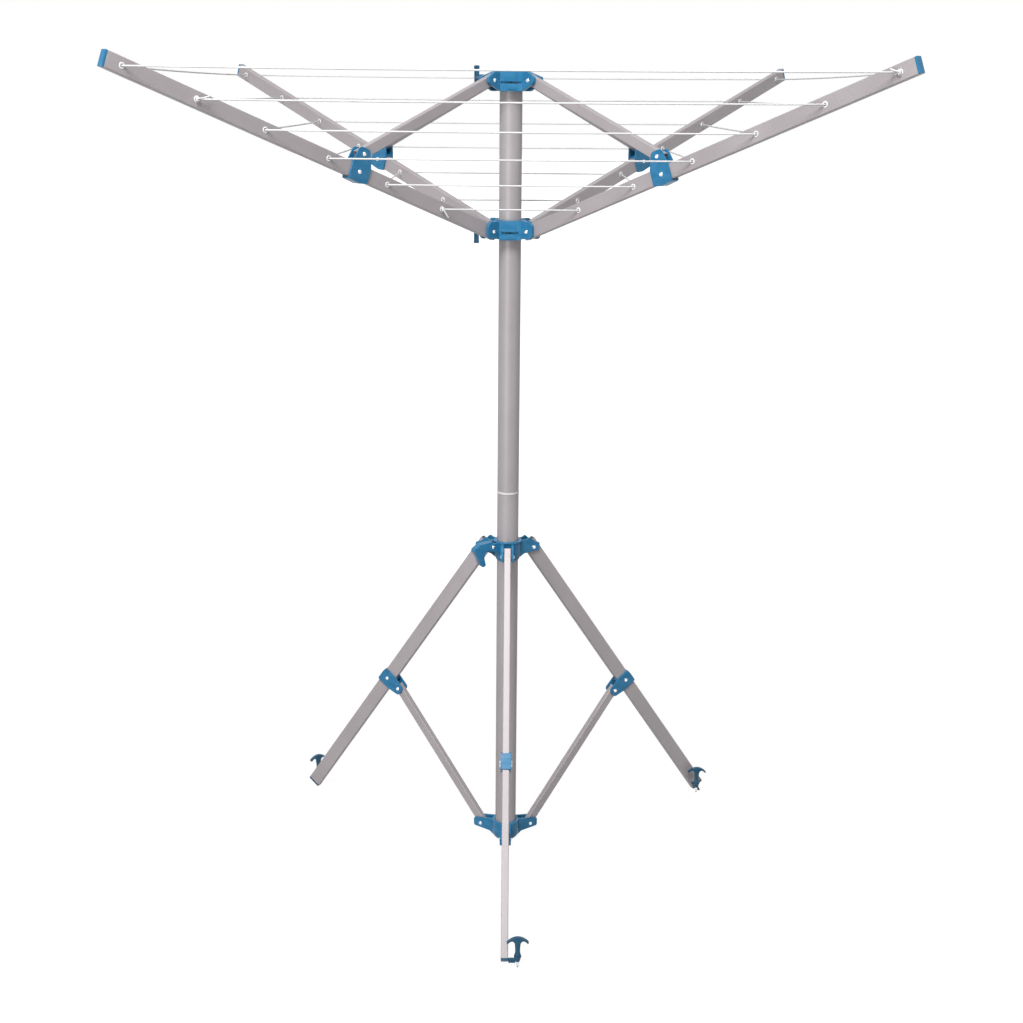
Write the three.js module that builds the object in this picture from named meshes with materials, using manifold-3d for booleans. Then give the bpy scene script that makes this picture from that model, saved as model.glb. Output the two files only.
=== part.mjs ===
// Portable rotary clothesline: a two-piece mast on a folding tripod, and four folding arms that carry
// six rows of line. Millimetres, +Z up, origin on the ground under the mast, front of the object at -Y.
import * as THREE from 'three';
import { mergeVertices } from 'three/addons/utils/BufferGeometryUtils.js';
import Module from 'manifold-3d';

const wasm = await Module();
wasm.setup();

// ---- Driving dimensions -------------------------------------------------------------------------
const MAST_RADIUS = 22.5;          // both mast tubes, outside
const MAST_WALL = 1.5;
const SEAM_Z = 796;                // joint between the two mast tubes
const SPIGOT_WALL = 2;             // turning end of the upper mast, inside the bush
const SPIGOT_DEPTH = 100;          // how far it reaches down past the seam
const BUSH_WALL = 2.4;             // sleeve between the spigot and the lower mast
const BUSH_FLANGE = 5;             // ring that shows at the seam
const BUSH_DEPTH = 40;

const TOP_HUB_Z = 1627;            // height of the strut pivots on the fixed top hub
const LOWER_HUB_Z = 1338.5;        // height of the arm pivots on the sliding hub, arms open
const TRIPOD_HUB_Z = 669.5;        // height of the leg pivots on the sliding tripod hub, legs open
const BASE_HUB_Z = 23.5;           // height of the stay pivots on the hub at the mast's foot
const PIVOT_RADIUS = 58;           // every hub pivot lies this far from the mast axis
const EAR_REACH = 16;              // outer ends of the hub cheeks, past the pivots
const HUB_HALF_HEIGHT = 20;
const COLLAR_WALL = 6.5;           // round body of every hub, outside the mast
const HUB_CHEEK = 6;               // wall each side of a slot in the two head hubs
const BASE_CHEEK = 5;              // the same in the two tripod hubs
const WEB_WALL = 5;                // wall that bridges two clevises of a head hub
const GROOVE_DEPTH = 3;            // level groove in that wall
const PANEL_HALF_WIDTH = 11;       // raised panel in the middle of it
const PANEL_RISE = 1.2;
const FLOOR = 3.5;                 // plates inside the hubs

const ARM_TILT = 20.34;            // degrees above level, arms open
const ARM_LENGTH = 900;            // pivot to tip
const ARM_HEIGHT = 28;
const ARM_WIDTH = 14;
const STRUT_HEIGHT = 20;
const STRUT_CLEARANCE = 9;         // arm to strut, at the pin that joins them
const ARM_BRACKET_AT = 360;        // arm pivot to the rivet of the arm bracket
const ROWS = 6;
const FIRST_HOLE = 142;            // arm pivot to the innermost line hole
const HOLE_PITCH = 144.8;
const LINE_RADIUS = 1.5;
const LINE_HOLE_RADIUS = 3.6;

const LEG_TILT = 54.6;             // degrees below level, legs open
const LEG_HEIGHT = 30;
const LEG_WIDTH = 14;
const STAY_HEIGHT = 18;
const STAY_CLEARANCE = 11;         // leg to stay, at the pin that joins them
const LEG_BRACKET_AT = 430;        // leg pivot to the rivet of the leg bracket
const TUBE_WALL = 1.3;
const TUBE_CORNER = 2.5;
const CAP_FLANGE = 3;              // visible thickness of the plugs in arm tips and feet
const BRACKET_WALL = 3.5;

const PIN_RADIUS = 3;
const PIN_HEAD_LIP = 0.8;          // rivet head beyond its shank
const PIN_HEAD = 1.6;
const PEG_RADIUS = 3;
const PEG_OFFSET = 25;             // peg axis beside the middle of its leg
const PEG_TOP = 65;
const PEG_HANDLE = 48;

// Gaps between pieces.
const FIT = 0.3;                   // pieces that sit on or in one another
const SLIDE = 0.4;                 // hub on mast
const SLOT_GAP = 0.8;              // each side of a member in its slot

// Sizes that follow from those.
const SPIGOT_RADIUS = MAST_RADIUS - MAST_WALL - BUSH_WALL - 2 * FIT;
const COLLAR_RADIUS = MAST_RADIUS + COLLAR_WALL;
const HUB_REACH = PIVOT_RADIUS + EAR_REACH;
const STRUT_WIDTH = ARM_WIDTH + 2 * (FIT - SLOT_GAP);                        // between a bracket's ears
const STAY_WIDTH = LEG_WIDTH + 2 * (FIT - SLOT_GAP);
const STRUT_PIN_RISE = (ARM_HEIGHT + STRUT_HEIGHT) / 2 + STRUT_CLEARANCE;    // above the arm's middle line
const STAY_PIN_DROP = (LEG_HEIGHT + STAY_HEIGHT) / 2 + STAY_CLEARANCE;       // inside the leg's middle line
const PIN_HEAD_RADIUS = PIN_RADIUS + PIN_HEAD_LIP;

// ---- Directions ---------------------------------------------------------------------------------
const ARMS = { front_left: -135, front_right: -45, rear_right: 45, rear_left: 135 };
const LEGS = { front: -90, right: 30, left: 150 };
const PEG_SIDE = { front: 1, right: -1, left: -1 };
const PEG_OUT = { front: 8, right: -19, left: 8 };          // peg axis beyond the middle of the leg's end
const PEG_TURN = { front: 125, right: -30, left: -115 };    // handle direction, from the leg's own
const LEVER_AZIMUTH = -150;
const KNOB_AZIMUTH = 180;

const MAST_SIDES = 24;
const ROUND_SIDES = 12;
const PIN_SIDES = 8;
const LINE_HOLE_SIDES = 6;
const radians = THREE.MathUtils.degToRad;
const ordered = (from, to) => [Math.min(from, to), Math.max(from, to)];

// ---- Materials ----------------------------------------------------------------------------------
const finish = (color, roughness, metalness) =>
  () => new THREE.MeshStandardMaterial({ color, roughness, metalness });
const aluminium = finish(0xb9b7ba, 0.42, 0.85);
const bluePlastic = finish(0x2f84b8, 0.35, 0);
const darkPlastic = finish(0x1d5674, 0.45, 0);
const greyBush = finish(0xd9dadb, 0.5, 0);
const steel = finish(0xc8cacc, 0.3, 1);
const linePvc = finish(0xf1f0ee, 0.5, 0);

// ---- Solids -------------------------------------------------------------------------------------
function toSolid(geometry) {
  const bare = geometry.clone();
  bare.deleteAttribute('normal');
  bare.deleteAttribute('uv');
  const merged = mergeVertices(bare, 1e-4);
  const vertProperties = new Float32Array(merged.attributes.position.array);
  const triVerts = new Uint32Array(merged.index.array);
  return new wasm.Manifold(new wasm.Mesh({ numProp: 3, vertProperties, triVerts }));
}

function toGeometry(solid) {
  const { vertProperties, triVerts } = solid.asOriginal().getMesh();
  const geometry = new THREE.BufferGeometry();
  geometry.setAttribute('position', new THREE.BufferAttribute(vertProperties, 3));
  geometry.setIndex(new THREE.BufferAttribute(triVerts, 1));
  geometry.computeVertexNormals();
  return geometry;
}

const join = (...geometries) => geometries.map(toSolid).reduce((sum, next) => sum.add(next));

function cut(solid, ...geometries) {
  return geometries.map(toSolid).reduce((rest, tool) => rest.subtract(tool), solid);
}

function addMesh(parent, name, geometry, material) {
  const mesh = new THREE.Mesh(geometry, material());
  mesh.name = name;
  parent.add(mesh);
}

// Outline through corners [x, y, fillet radius], anticlockwise.
function outline(corners) {
  const shape = new THREE.Shape();
  corners.forEach(([x, y, fillet = 0], index) => {
    const corner = new THREE.Vector2(x, y);
    const before = new THREE.Vector2(...corners.at(index - 1)).sub(corner).normalize();
    const after = new THREE.Vector2(...corners[(index + 1) % corners.length]).sub(corner).normalize();
    const tangent = fillet / Math.tan(before.angleTo(after) / 2);
    const start = corner.clone().addScaledVector(before, tangent);
    const end = corner.clone().addScaledVector(after, tangent);
    if (index === 0) shape.moveTo(start.x, start.y);
    else shape.lineTo(start.x, start.y);
    if (fillet > 0) shape.quadraticCurveTo(corner.x, corner.y, end.x, end.y);
  });
  shape.closePath();
  return shape;
}

const rectangle = (width, height, fillet = 0) => outline([
  [-width / 2, -height / 2, fillet],
  [width / 2, -height / 2, fillet],
  [width / 2, height / 2, fillet],
  [-width / 2, height / 2, fillet],
]);

function extrude(shape, depth, curveSegments = 4) {
  return new THREE.ExtrudeGeometry(shape, { depth, curveSegments, bevelEnabled: false });
}

// Plate drawn in a vertical radial plane: shape x is outward, shape y is up, thickness is centred on y.
function radialPlate(shape, thickness, y = 0, curveSegments = 1) {
  return extrude(shape, thickness, curveSegments).rotateX(Math.PI / 2).translate(0, y + thickness / 2, 0);
}

// Prism along x whose section is drawn with shape x sideways and shape y up.
function prismAlongX(shape, x0, x1, curveSegments = 1) {
  const axes = new THREE.Matrix4().makeBasis(
    new THREE.Vector3(0, 1, 0), new THREE.Vector3(0, 0, 1), new THREE.Vector3(1, 0, 0));
  return extrude(shape, x1 - x0, curveSegments).applyMatrix4(axes).translate(x0, 0, 0);
}

// Body turned about z from a closed profile of [radius, height] points.
function turned(profile, sides = MAST_SIDES) {
  const points = profile.map(([radius, height]) => new THREE.Vector2(radius, height));
  if (profile[0][0] > 0) points.push(points[0].clone());
  return new THREE.LatheGeometry(points, sides).rotateX(Math.PI / 2);
}

const ring = (inner, outer, z0, z1) => turned([[inner, z0], [outer, z0], [outer, z1], [inner, z1]]);
const disc = (radius, z0, z1, sides) => turned([[0, z0], [radius, z0], [radius, z1], [0, z1]], sides);

function block(x0, x1, y0, y1, z0, z1) {
  const box = new THREE.BoxGeometry(x1 - x0, y1 - y0, z1 - z0);
  return box.translate((x0 + x1) / 2, (y0 + y1) / 2, (z0 + z1) / 2);
}

const rodAcross = (radius, y0, y1, x, z, sides = PIN_SIDES) =>
  new THREE.CylinderGeometry(radius, radius, y1 - y0, sides).translate(x, (y0 + y1) / 2, z);
const rodAlong = (radius, x0, x1, sides = ROUND_SIDES) => disc(radius, x0, x1, sides).rotateY(Math.PI / 2);

// Hollow rectangular tube along x with its ends open.
function boxTube(x0, x1, width, height) {
  const shape = rectangle(width, height, TUBE_CORNER);
  const inner = rectangle(width - 2 * TUBE_WALL, height - 2 * TUBE_WALL);
  shape.holes.push(inner);
  return toSolid(prismAlongX(shape, x0, x1));
}

// Group standing in the vertical plane of one arm or leg.
function radialGroup(parent, azimuth) {
  const group = new THREE.Group();
  group.rotation.z = radians(azimuth);
  parent.add(group);
  return group;
}

// Group at a pivot in that plane; its x runs along the member, tilted up from level.
function memberGroup(plane, radius, height, tilt) {
  const group = new THREE.Group();
  group.position.set(radius, 0, height);
  group.rotation.y = -tilt;
  plane.add(group);
  return group;
}

// Riveted pivot pin across a clevis, with a head on each side.
function rivet(span) {
  const half = span / 2 + FIT;
  return join(
    rodAcross(PIN_RADIUS, -half - PIN_HEAD / 2, half + PIN_HEAD / 2, 0, 0),
    rodAcross(PIN_HEAD_RADIUS, half, half + PIN_HEAD, 0, 0),
    rodAcross(PIN_HEAD_RADIUS, -half - PIN_HEAD, -half, 0, 0),
  );
}

const pinHole = (span, x = 0, z = 0) => rodAcross(PIN_RADIUS + FIT, -span, span, x, z);

// ---- Head geometry: arms and struts -------------------------------------------------------------
const armTilt = radians(ARM_TILT);
const strutPin = new THREE.Vector2(
  PIVOT_RADIUS + ARM_BRACKET_AT * Math.cos(armTilt) - STRUT_PIN_RISE * Math.sin(armTilt),
  LOWER_HUB_Z + ARM_BRACKET_AT * Math.sin(armTilt) + STRUT_PIN_RISE * Math.cos(armTilt));
const strutTop = new THREE.Vector2(PIVOT_RADIUS, TOP_HUB_Z);
const strutLength = strutPin.distanceTo(strutTop);
const strutTilt = Math.atan2(strutTop.y - strutPin.y, strutTop.x - strutPin.x);

// ---- Tripod geometry: legs and stays ------------------------------------------------------------
const legTilt = radians(LEG_TILT);
const footRise = LEG_HEIGHT / 2 * Math.cos(legTilt);          // middle of a leg's end above its low corner
const legLength = (TRIPOD_HUB_Z - footRise) / Math.sin(legTilt);
const footRadius = PIVOT_RADIUS + legLength * Math.cos(legTilt);
const stayPin = new THREE.Vector2(
  PIVOT_RADIUS + LEG_BRACKET_AT * Math.cos(legTilt) - STAY_PIN_DROP * Math.sin(legTilt),
  TRIPOD_HUB_Z - LEG_BRACKET_AT * Math.sin(legTilt) - STAY_PIN_DROP * Math.cos(legTilt));
const stayFoot = new THREE.Vector2(PIVOT_RADIUS, BASE_HUB_Z);
const stayLength = stayPin.distanceTo(stayFoot);
const stayTilt = Math.atan2(stayPin.y - stayFoot.y, stayPin.x - stayFoot.x);

const slot = (member) => member + 2 * SLOT_GAP;
const clevis = (member, cheek) => slot(member) + 2 * cheek;

// ---- Mast ---------------------------------------------------------------------------------------
const baseFloor = 7;
const bushBottom = SEAM_Z - BUSH_FLANGE / 2;
const bushTop = SEAM_Z + BUSH_FLANGE / 2;
const mastBore = MAST_RADIUS - MAST_WALL;
const crownWall = 4;
const mastTop = TOP_HUB_Z + HUB_HALF_HEIGHT - crownWall - FIT;

function buildMast(root) {
  const lower = ring(mastBore, MAST_RADIUS, baseFloor + FIT, bushBottom - FIT);
  addMesh(root, 'lower_mast', lower, aluminium);

  const bush = turned([
    [SPIGOT_RADIUS + FIT, bushBottom - BUSH_DEPTH], [mastBore - FIT, bushBottom - BUSH_DEPTH],
    [mastBore - FIT, bushBottom], [MAST_RADIUS, bushBottom],
    [MAST_RADIUS, bushTop], [SPIGOT_RADIUS + FIT, bushTop],
  ]);
  addMesh(root, 'mast_bush', bush, greyBush);

  const upper = ring(mastBore, MAST_RADIUS, bushTop + FIT, mastTop);
  addMesh(root, 'upper_mast', upper, aluminium);

  const spigotBore = SPIGOT_RADIUS - SPIGOT_WALL;
  const shoulder = bushTop + FIT;
  const spigot = turned([
    [spigotBore, SEAM_Z - SPIGOT_DEPTH], [SPIGOT_RADIUS, SEAM_Z - SPIGOT_DEPTH],
    [SPIGOT_RADIUS, shoulder], [mastBore - FIT, shoulder],
    [mastBore - FIT, shoulder + SPIGOT_DEPTH], [spigotBore, shoulder + SPIGOT_DEPTH],
  ]);
  addMesh(root, 'mast_spigot', spigot, steel);
}

// ---- Head hubs: four clevises round a collar, joined by webs ------------------------------------
const earRoot = COLLAR_RADIUS - 5;                             // cheeks start inside the collar
const headHalfClevis = clevis(ARM_WIDTH, HUB_CHEEK) / 2;
const webHalfWidth = 21.5;
const webFace = webHalfWidth + headHalfClevis * Math.SQRT2;    // where two cheeks and their web meet
const knobBossRadius = 9;
const knobBossFace = webFace + 5;
const screwRadius = 4;

// The webs at the front and back are deep and those at the sides shallow, with the cheeks beside each.
// Ears of the top hub fall away with the struts; those of the sliding hub stay deep for the arms.
const topHub = {
  member: STRUT_WIDTH, bottom: -HUB_HALF_HEIGHT, knobRise: 3.3,
  groove: { halfWidth: 21, low: -6, high: -2 },
  deep: { top: HUB_HALF_HEIGHT, ear: [
    [earRoot, -HUB_HALF_HEIGHT], [PIVOT_RADIUS - 14, -HUB_HALF_HEIGHT, 4], [HUB_REACH, -5, 5],
    [HUB_REACH, 6, 5], [PIVOT_RADIUS - 7, HUB_HALF_HEIGHT, 5], [earRoot, HUB_HALF_HEIGHT],
  ] },
  shallow: { top: HUB_HALF_HEIGHT - 6, ear: [
    [earRoot, -HUB_HALF_HEIGHT], [PIVOT_RADIUS - 14, -HUB_HALF_HEIGHT, 4], [HUB_REACH, -5, 5],
    [HUB_REACH, 6.5, 3], [COLLAR_RADIUS + 1, HUB_HALF_HEIGHT], [earRoot, HUB_HALF_HEIGHT],
  ] },
};
const lowerHub = {
  member: ARM_WIDTH, bottom: -17.5, knobRise: -2,
  groove: { halfWidth: 17, low: -5.4, high: -1 },
  deep: { top: HUB_HALF_HEIGHT, ear: [
    [earRoot, -14.5], [PIVOT_RADIUS + 10, -14.5, 7], [HUB_REACH, -8, 4],
    [HUB_REACH, 12, 7], [PIVOT_RADIUS + 6, HUB_HALF_HEIGHT, 7], [earRoot, HUB_HALF_HEIGHT],
  ] },
  shallow: { top: HUB_HALF_HEIGHT - 8, ear: [
    [earRoot, -14.5], [PIVOT_RADIUS + 10, -14.5, 7], [HUB_REACH, -6, 5],
    [HUB_REACH, 5, 5], [COLLAR_RADIUS + 1, HUB_HALF_HEIGHT], [earRoot, HUB_HALF_HEIGHT],
  ] },
};
const WEBS = { '-90': 'deep', 0: 'shallow', 90: 'deep', 180: 'shallow' };

// Wall between two clevises: grooved, with a raised panel, a rib and a floor plate behind it.
function hubWeb(bottom, top, groove) {
  const across = (x0, x1, half, z0, z1) => block(x0, x1, -half, half, z0, z1);
  const back = webFace - WEB_WALL;
  const panelEdge = 3;
  const ribHalf = 1.5;
  const wall = join(
    across(back, webFace, webHalfWidth, bottom, top),
    across(back, webFace + PANEL_RISE, PANEL_HALF_WIDTH, bottom + panelEdge, top - panelEdge),
    across(earRoot, back + 1, ribHalf, bottom + panelEdge, top - 1),
    across(earRoot, back + 1, webHalfWidth, top - FLOOR, top),
  );
  const grooveFrom = webFace - GROOVE_DEPTH;
  return cut(wall, across(grooveFrom, webFace + PANEL_RISE + 1, groove.halfWidth, groove.low, groove.high));
}

function headHub({ member, bottom, groove, ...kinds }) {
  const slotHalf = slot(member) / 2;
  const cheekWall = headHalfClevis - slotHalf;
  let hub = toSolid(disc(COLLAR_RADIUS, bottom, HUB_HALF_HEIGHT));
  for (const [azimuth, kind] of Object.entries(WEBS)) {
    const { top, ear } = kinds[kind];
    const turn = Number(azimuth);
    hub = hub.add(hubWeb(bottom, top, groove).rotate([0, 0, turn]));
    for (const side of [-1, 1]) {
      const cheek = radialPlate(outline(ear), cheekWall, side * (slotHalf + cheekWall / 2));
      hub = hub.add(toSolid(cheek.rotateZ(radians(turn - side * 45))));
    }
  }
  for (const azimuth of Object.values(ARMS)) {
    const opening = block(COLLAR_RADIUS + 2, HUB_REACH, -slotHalf, slotHalf, -HUB_REACH, HUB_REACH);
    hub = cut(hub, opening.rotateZ(radians(azimuth)));
  }
  return hub;
}

// Threaded boss for the locking screw, on the web that faces KNOB_AZIMUTH.
function addKnobBoss(hub, rise) {
  const place = (geometry) => geometry.translate(0, 0, rise).rotateZ(radians(KNOB_AZIMUTH));
  const boss = place(rodAlong(knobBossRadius, COLLAR_RADIUS - 2, knobBossFace));
  const thread = place(rodAlong(screwRadius + FIT, 0, knobBossFace + 1));
  return cut(hub.add(toSolid(boss)), thread);
}

// Locking screw with a two-winged handle, channelled along both faces; the screw bears on the mast.
function lockingKnob(rise) {
  const wingFrom = knobBossFace + 16;
  const wingTo = wingFrom + 11;
  const wingReach = 25;
  const wingHalf = 3.5;
  const rim = 3;
  const wing = outline([
    [wingFrom, -wingReach, 3], [wingTo, -wingReach, 3], [wingTo, wingReach, 3], [wingFrom, wingReach, 3],
  ]);
  const body = join(
    rodAlong(screwRadius, MAST_RADIUS + FIT, wingFrom + 2),
    rodAlong(knobBossRadius - 1, knobBossFace + 6, wingTo - 2),
    radialPlate(wing, 2 * wingHalf),
  );
  const channel = (side) => {
    const faces = ordered(side * (wingHalf - 1), side * (wingHalf + 1));
    return block(wingFrom + rim, wingTo - rim, ...faces, -wingReach + rim, wingReach - rim);
  };
  const middle = rodAlong(knobBossRadius - 1, wingFrom, wingTo - 2);
  const handle = cut(body, channel(-1), channel(1)).add(toSolid(middle));
  return toGeometry(handle).translate(0, 0, rise).rotateZ(radians(KNOB_AZIMUTH));
}

// Short stubs in the cheeks at an open pivot: they end just short of the member between them.
function addStubs(hub, azimuths, member, halfClevis) {
  const ends = [member / 2 + FIT, halfClevis + PIN_HEAD];
  let result = hub;
  for (const azimuth of azimuths) {
    for (const [from, to] of [ends, [-ends[1], -ends[0]]]) {
      const stub = rodAcross(PIN_HEAD_RADIUS, from, to, PIVOT_RADIUS, 0).rotateZ(radians(azimuth));
      result = result.add(toSolid(stub));
    }
  }
  return result;
}

function addHeadHub(root, name, height, hub, { knobRise }) {
  const group = new THREE.Group();
  group.position.z = height;
  root.add(group);
  addMesh(group, name, toGeometry(addKnobBoss(hub, knobRise)), bluePlastic);
  addMesh(group, `${name}_knob`, lockingKnob(knobRise), darkPlastic);
}

function buildTopHub(root) {
  const mastSocket = disc(MAST_RADIUS + FIT, -HUB_HALF_HEIGHT - 1, HUB_HALF_HEIGHT - crownWall);
  const hub = cut(headHub(topHub), mastSocket);
  const riveted = addStubs(hub, Object.values(ARMS), STRUT_WIDTH, headHalfClevis);
  addHeadHub(root, 'top_hub', TOP_HUB_Z, riveted, topHub);
}

function buildLowerHub(root) {
  const bore = disc(MAST_RADIUS + SLIDE, -HUB_HALF_HEIGHT - 1, HUB_HALF_HEIGHT + 1);
  const pinHoles = Object.values(ARMS).map((azimuth) =>
    pinHole(headHalfClevis + 1, PIVOT_RADIUS).rotateZ(radians(azimuth)));
  addHeadHub(root, 'lower_hub', LOWER_HUB_Z, cut(headHub(lowerHub), bore, ...pinHoles), lowerHub);
}

// ---- Arms and struts ----------------------------------------------------------------------------
const holeAt = (row) => FIRST_HOLE + (ROWS - 1 - row) * HOLE_PITCH;   // row 0 is the outermost
const memberEnd = (height) => height / 2 - 1;                          // tube past its pivot
const legEnd = PIVOT_RADIUS - COLLAR_RADIUS - LEG_HEIGHT / 2;          // the same, clear of the collar
const bracketGap = (member) => member / 2 + FIT;

// Saddle riveted round a tube, with two ears that carry another member's pin.
// Its own x runs along the tube from the rivet, its z points to the ears.
function saddle({ tubeWidth, tubeHeight, inward, outward, belly, pinRise, earRadius }) {
  const gap = bracketGap(tubeWidth);
  const low = -tubeHeight / 2 - FIT;
  const high = tubeHeight / 2 + FIT;
  const bridge = 3;
  const cheek = outline([
    [-inward, low - 1, 2], [-inward / 3, low - bridge - belly, inward / 3],
    [outward, low - bridge - belly / 2, 4], [outward, high, 5],
    [earRadius + 1, pinRise + earRadius, earRadius * 0.85],
    [-earRadius, pinRise + earRadius, earRadius * 0.85], [-inward, high, 5],
  ]);
  const offset = gap + BRACKET_WALL / 2;
  const body = join(
    radialPlate(cheek, BRACKET_WALL, offset),
    radialPlate(cheek, BRACKET_WALL, -offset),
    block(-inward / 2, outward - 2, -gap - 1, gap + 1, low - bridge, low),
    block(-inward + 2, outward - 2, -gap - 1, gap + 1, high, high + bridge),
    rodAcross(PIN_RADIUS, -gap - 1, gap + 1, 0, 0),
    rodAcross(PIN_HEAD_RADIUS, offset, gap + BRACKET_WALL + PIN_HEAD, 0, 0),
    rodAcross(PIN_HEAD_RADIUS, -gap - BRACKET_WALL - PIN_HEAD, -offset, 0, 0),
  );
  return cut(body, pinHole(gap + BRACKET_WALL + 2, 0, pinRise));
}

const saddleSpan = (tubeWidth) => 2 * (bracketGap(tubeWidth) + BRACKET_WALL);

// Plug in the end of a tube: a flange the size of the tube and a ribbed tongue inside it.
function endPlug(length, width, height) {
  const inner = width - 2 * (TUBE_WALL + FIT);
  const innerHeight = height - 2 * (TUBE_WALL + FIT);
  const tongue = 12;
  const flangeFrom = length - CAP_FLANGE;
  const plug = join(
    prismAlongX(rectangle(width, height, TUBE_CORNER), flangeFrom, length),
    prismAlongX(rectangle(inner, innerHeight), flangeFrom - tongue, flangeFrom + 1),
  );
  const core = prismAlongX(rectangle(inner - 4, innerHeight - 4), flangeFrom - tongue - 1, flangeFrom - 1);
  return cut(plug, core);
}

function armTube() {
  const holes = Array.from({ length: ROWS }, (_, row) =>
    rodAcross(LINE_HOLE_RADIUS, -ARM_WIDTH, ARM_WIDTH, holeAt(row), 0, LINE_HOLE_SIDES));
  const tube = boxTube(-memberEnd(ARM_HEIGHT), ARM_LENGTH - CAP_FLANGE - FIT, ARM_WIDTH, ARM_HEIGHT);
  return cut(tube, pinHole(ARM_WIDTH), pinHole(ARM_WIDTH, ARM_BRACKET_AT), ...holes);
}

function strutTube(length) {
  const past = memberEnd(STRUT_HEIGHT);
  const tube = boxTube(-past, length + past, STRUT_WIDTH, STRUT_HEIGHT);
  const topHole = rodAcross(PIN_HEAD_RADIUS + FIT, -STRUT_WIDTH, STRUT_WIDTH, length, 0);
  return cut(tube, pinHole(STRUT_WIDTH), topHole);
}

function buildArm(root, name, azimuth) {
  const plane = radialGroup(root, azimuth);
  const arm = memberGroup(plane, PIVOT_RADIUS, LOWER_HUB_Z, armTilt);
  addMesh(arm, `arm_${name}`, toGeometry(armTube()), aluminium);
  addMesh(arm, `arm_pin_${name}`, toGeometry(rivet(2 * headHalfClevis)), steel);
  addMesh(arm, `arm_cap_${name}`, toGeometry(endPlug(ARM_LENGTH, ARM_WIDTH, ARM_HEIGHT)), bluePlastic);

  const bracket = new THREE.Group();
  bracket.position.x = ARM_BRACKET_AT;
  arm.add(bracket);
  const saddleBody = saddle({
    tubeWidth: ARM_WIDTH, tubeHeight: ARM_HEIGHT, inward: 24, outward: 20, belly: 2,
    pinRise: STRUT_PIN_RISE, earRadius: 11.5,
  });
  addMesh(bracket, `arm_bracket_${name}`, toGeometry(saddleBody), bluePlastic);
  const pin = toGeometry(rivet(saddleSpan(ARM_WIDTH))).translate(0, 0, STRUT_PIN_RISE);
  addMesh(bracket, `strut_pin_${name}`, pin, steel);

  const strut = memberGroup(plane, strutPin.x, strutPin.y, strutTilt);
  addMesh(strut, `strut_${name}`, toGeometry(strutTube(strutLength)), aluminium);
}

// ---- Tripod -------------------------------------------------------------------------------------
const tripodEar = [
  [earRoot, -17], [COLLAR_RADIUS + 5, -11, 6], [HUB_REACH - 2, -7.5, 4], [HUB_REACH - 2, 9, 4],
  [PIVOT_RADIUS + 2, 12, 4], [PIVOT_RADIUS - 9, 23, 4], [PIVOT_RADIUS - 17, 19, 3], [earRoot, 19],
];
const baseEar = [
  [earRoot, -19], [COLLAR_RADIUS + 5, -12, 8], [HUB_REACH + 1, -8, 5],
  [HUB_REACH + 1, 10.5, 5], [earRoot, 19],
];

// Collar with a pair of cheeks for each leg, slotted for the member between them.
function tripodCollar(collar, ear, member) {
  const slotHalf = slot(member) / 2;
  let hub = toSolid(collar);
  for (const azimuth of Object.values(LEGS)) {
    for (const side of [-1, 1]) {
      const cheek = radialPlate(outline(ear), BASE_CHEEK, side * (slotHalf + BASE_CHEEK / 2));
      hub = hub.add(toSolid(cheek.rotateZ(radians(azimuth))));
    }
  }
  return hub;
}

const tripodRim = COLLAR_RADIUS + 1;
const leverPivot = new THREE.Vector2(tripodRim + 11, 13);
const leverWidth = 16;
const lugWall = 4;
const lugSpan = leverWidth + 2 * (SLOT_GAP + lugWall);

function buildTripodHub(root) {
  const low = -20;
  const high = 22;
  const collar = turned([
    [0, low], [MAST_RADIUS + 2, low], [COLLAR_RADIUS - 2.5, low + 5], [COLLAR_RADIUS - 1, low + 12],
    [COLLAR_RADIUS - 1, high - FLOOR], [tripodRim, high - FLOOR], [tripodRim, high], [0, high],
  ]);
  let hub = tripodCollar(collar, tripodEar, LEG_WIDTH);
  const lugEnd = leverPivot.x + 8;
  const lug = outline([[earRoot, 0], [lugEnd, 6, 4], [lugEnd, 20, 6], [earRoot, high]]);
  const slotHalf = leverWidth / 2 + SLOT_GAP;
  const lugSlot = block(tripodRim + FIT, lugEnd + 1, -slotHalf, slotHalf, 0, high + 1);
  const lugPin = pinHole(lugSpan / 2 + 1, leverPivot.x, leverPivot.y);
  const turn = radians(LEVER_AZIMUTH);
  hub = hub.add(toSolid(radialPlate(lug, lugSpan).rotateZ(turn)));
  hub = cut(hub, lugSlot.rotateZ(turn), lugPin.rotateZ(turn), disc(MAST_RADIUS + SLIDE, low - 1, high + 1));
  hub = addStubs(hub, Object.values(LEGS), LEG_WIDTH, clevis(LEG_WIDTH, BASE_CHEEK) / 2);
  const group = new THREE.Group();
  group.position.z = TRIPOD_HUB_Z;
  root.add(group);
  addMesh(group, 'tripod_hub', toGeometry(hub), bluePlastic);
  buildLockLever(group);
}

// Cam lever that clamps the tripod hub to the mast: a cam nose, a bulging back and a hooked finger end.
function buildLockLever(hubGroup) {
  const lever = outline([
    [-8, 6, 4], [-6, -8, 4], [14, -8, 7], [19, -22, 7], [15, -39, 3], [22, -43, 4],
    [29, -34, 5], [36, -18, 8], [46, -3, 8], [29, 8, 12], [0, 10.5, 5],
  ]);
  const body = cut(toSolid(radialPlate(lever, leverWidth, 0, 3)), pinHole(leverWidth));
  const plane = radialGroup(hubGroup, LEVER_AZIMUTH);
  const group = memberGroup(plane, leverPivot.x, leverPivot.y, 0);
  addMesh(group, 'lock_lever', toGeometry(body), bluePlastic);
  addMesh(group, 'lock_lever_pin', toGeometry(rivet(lugSpan)), steel);
}

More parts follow.
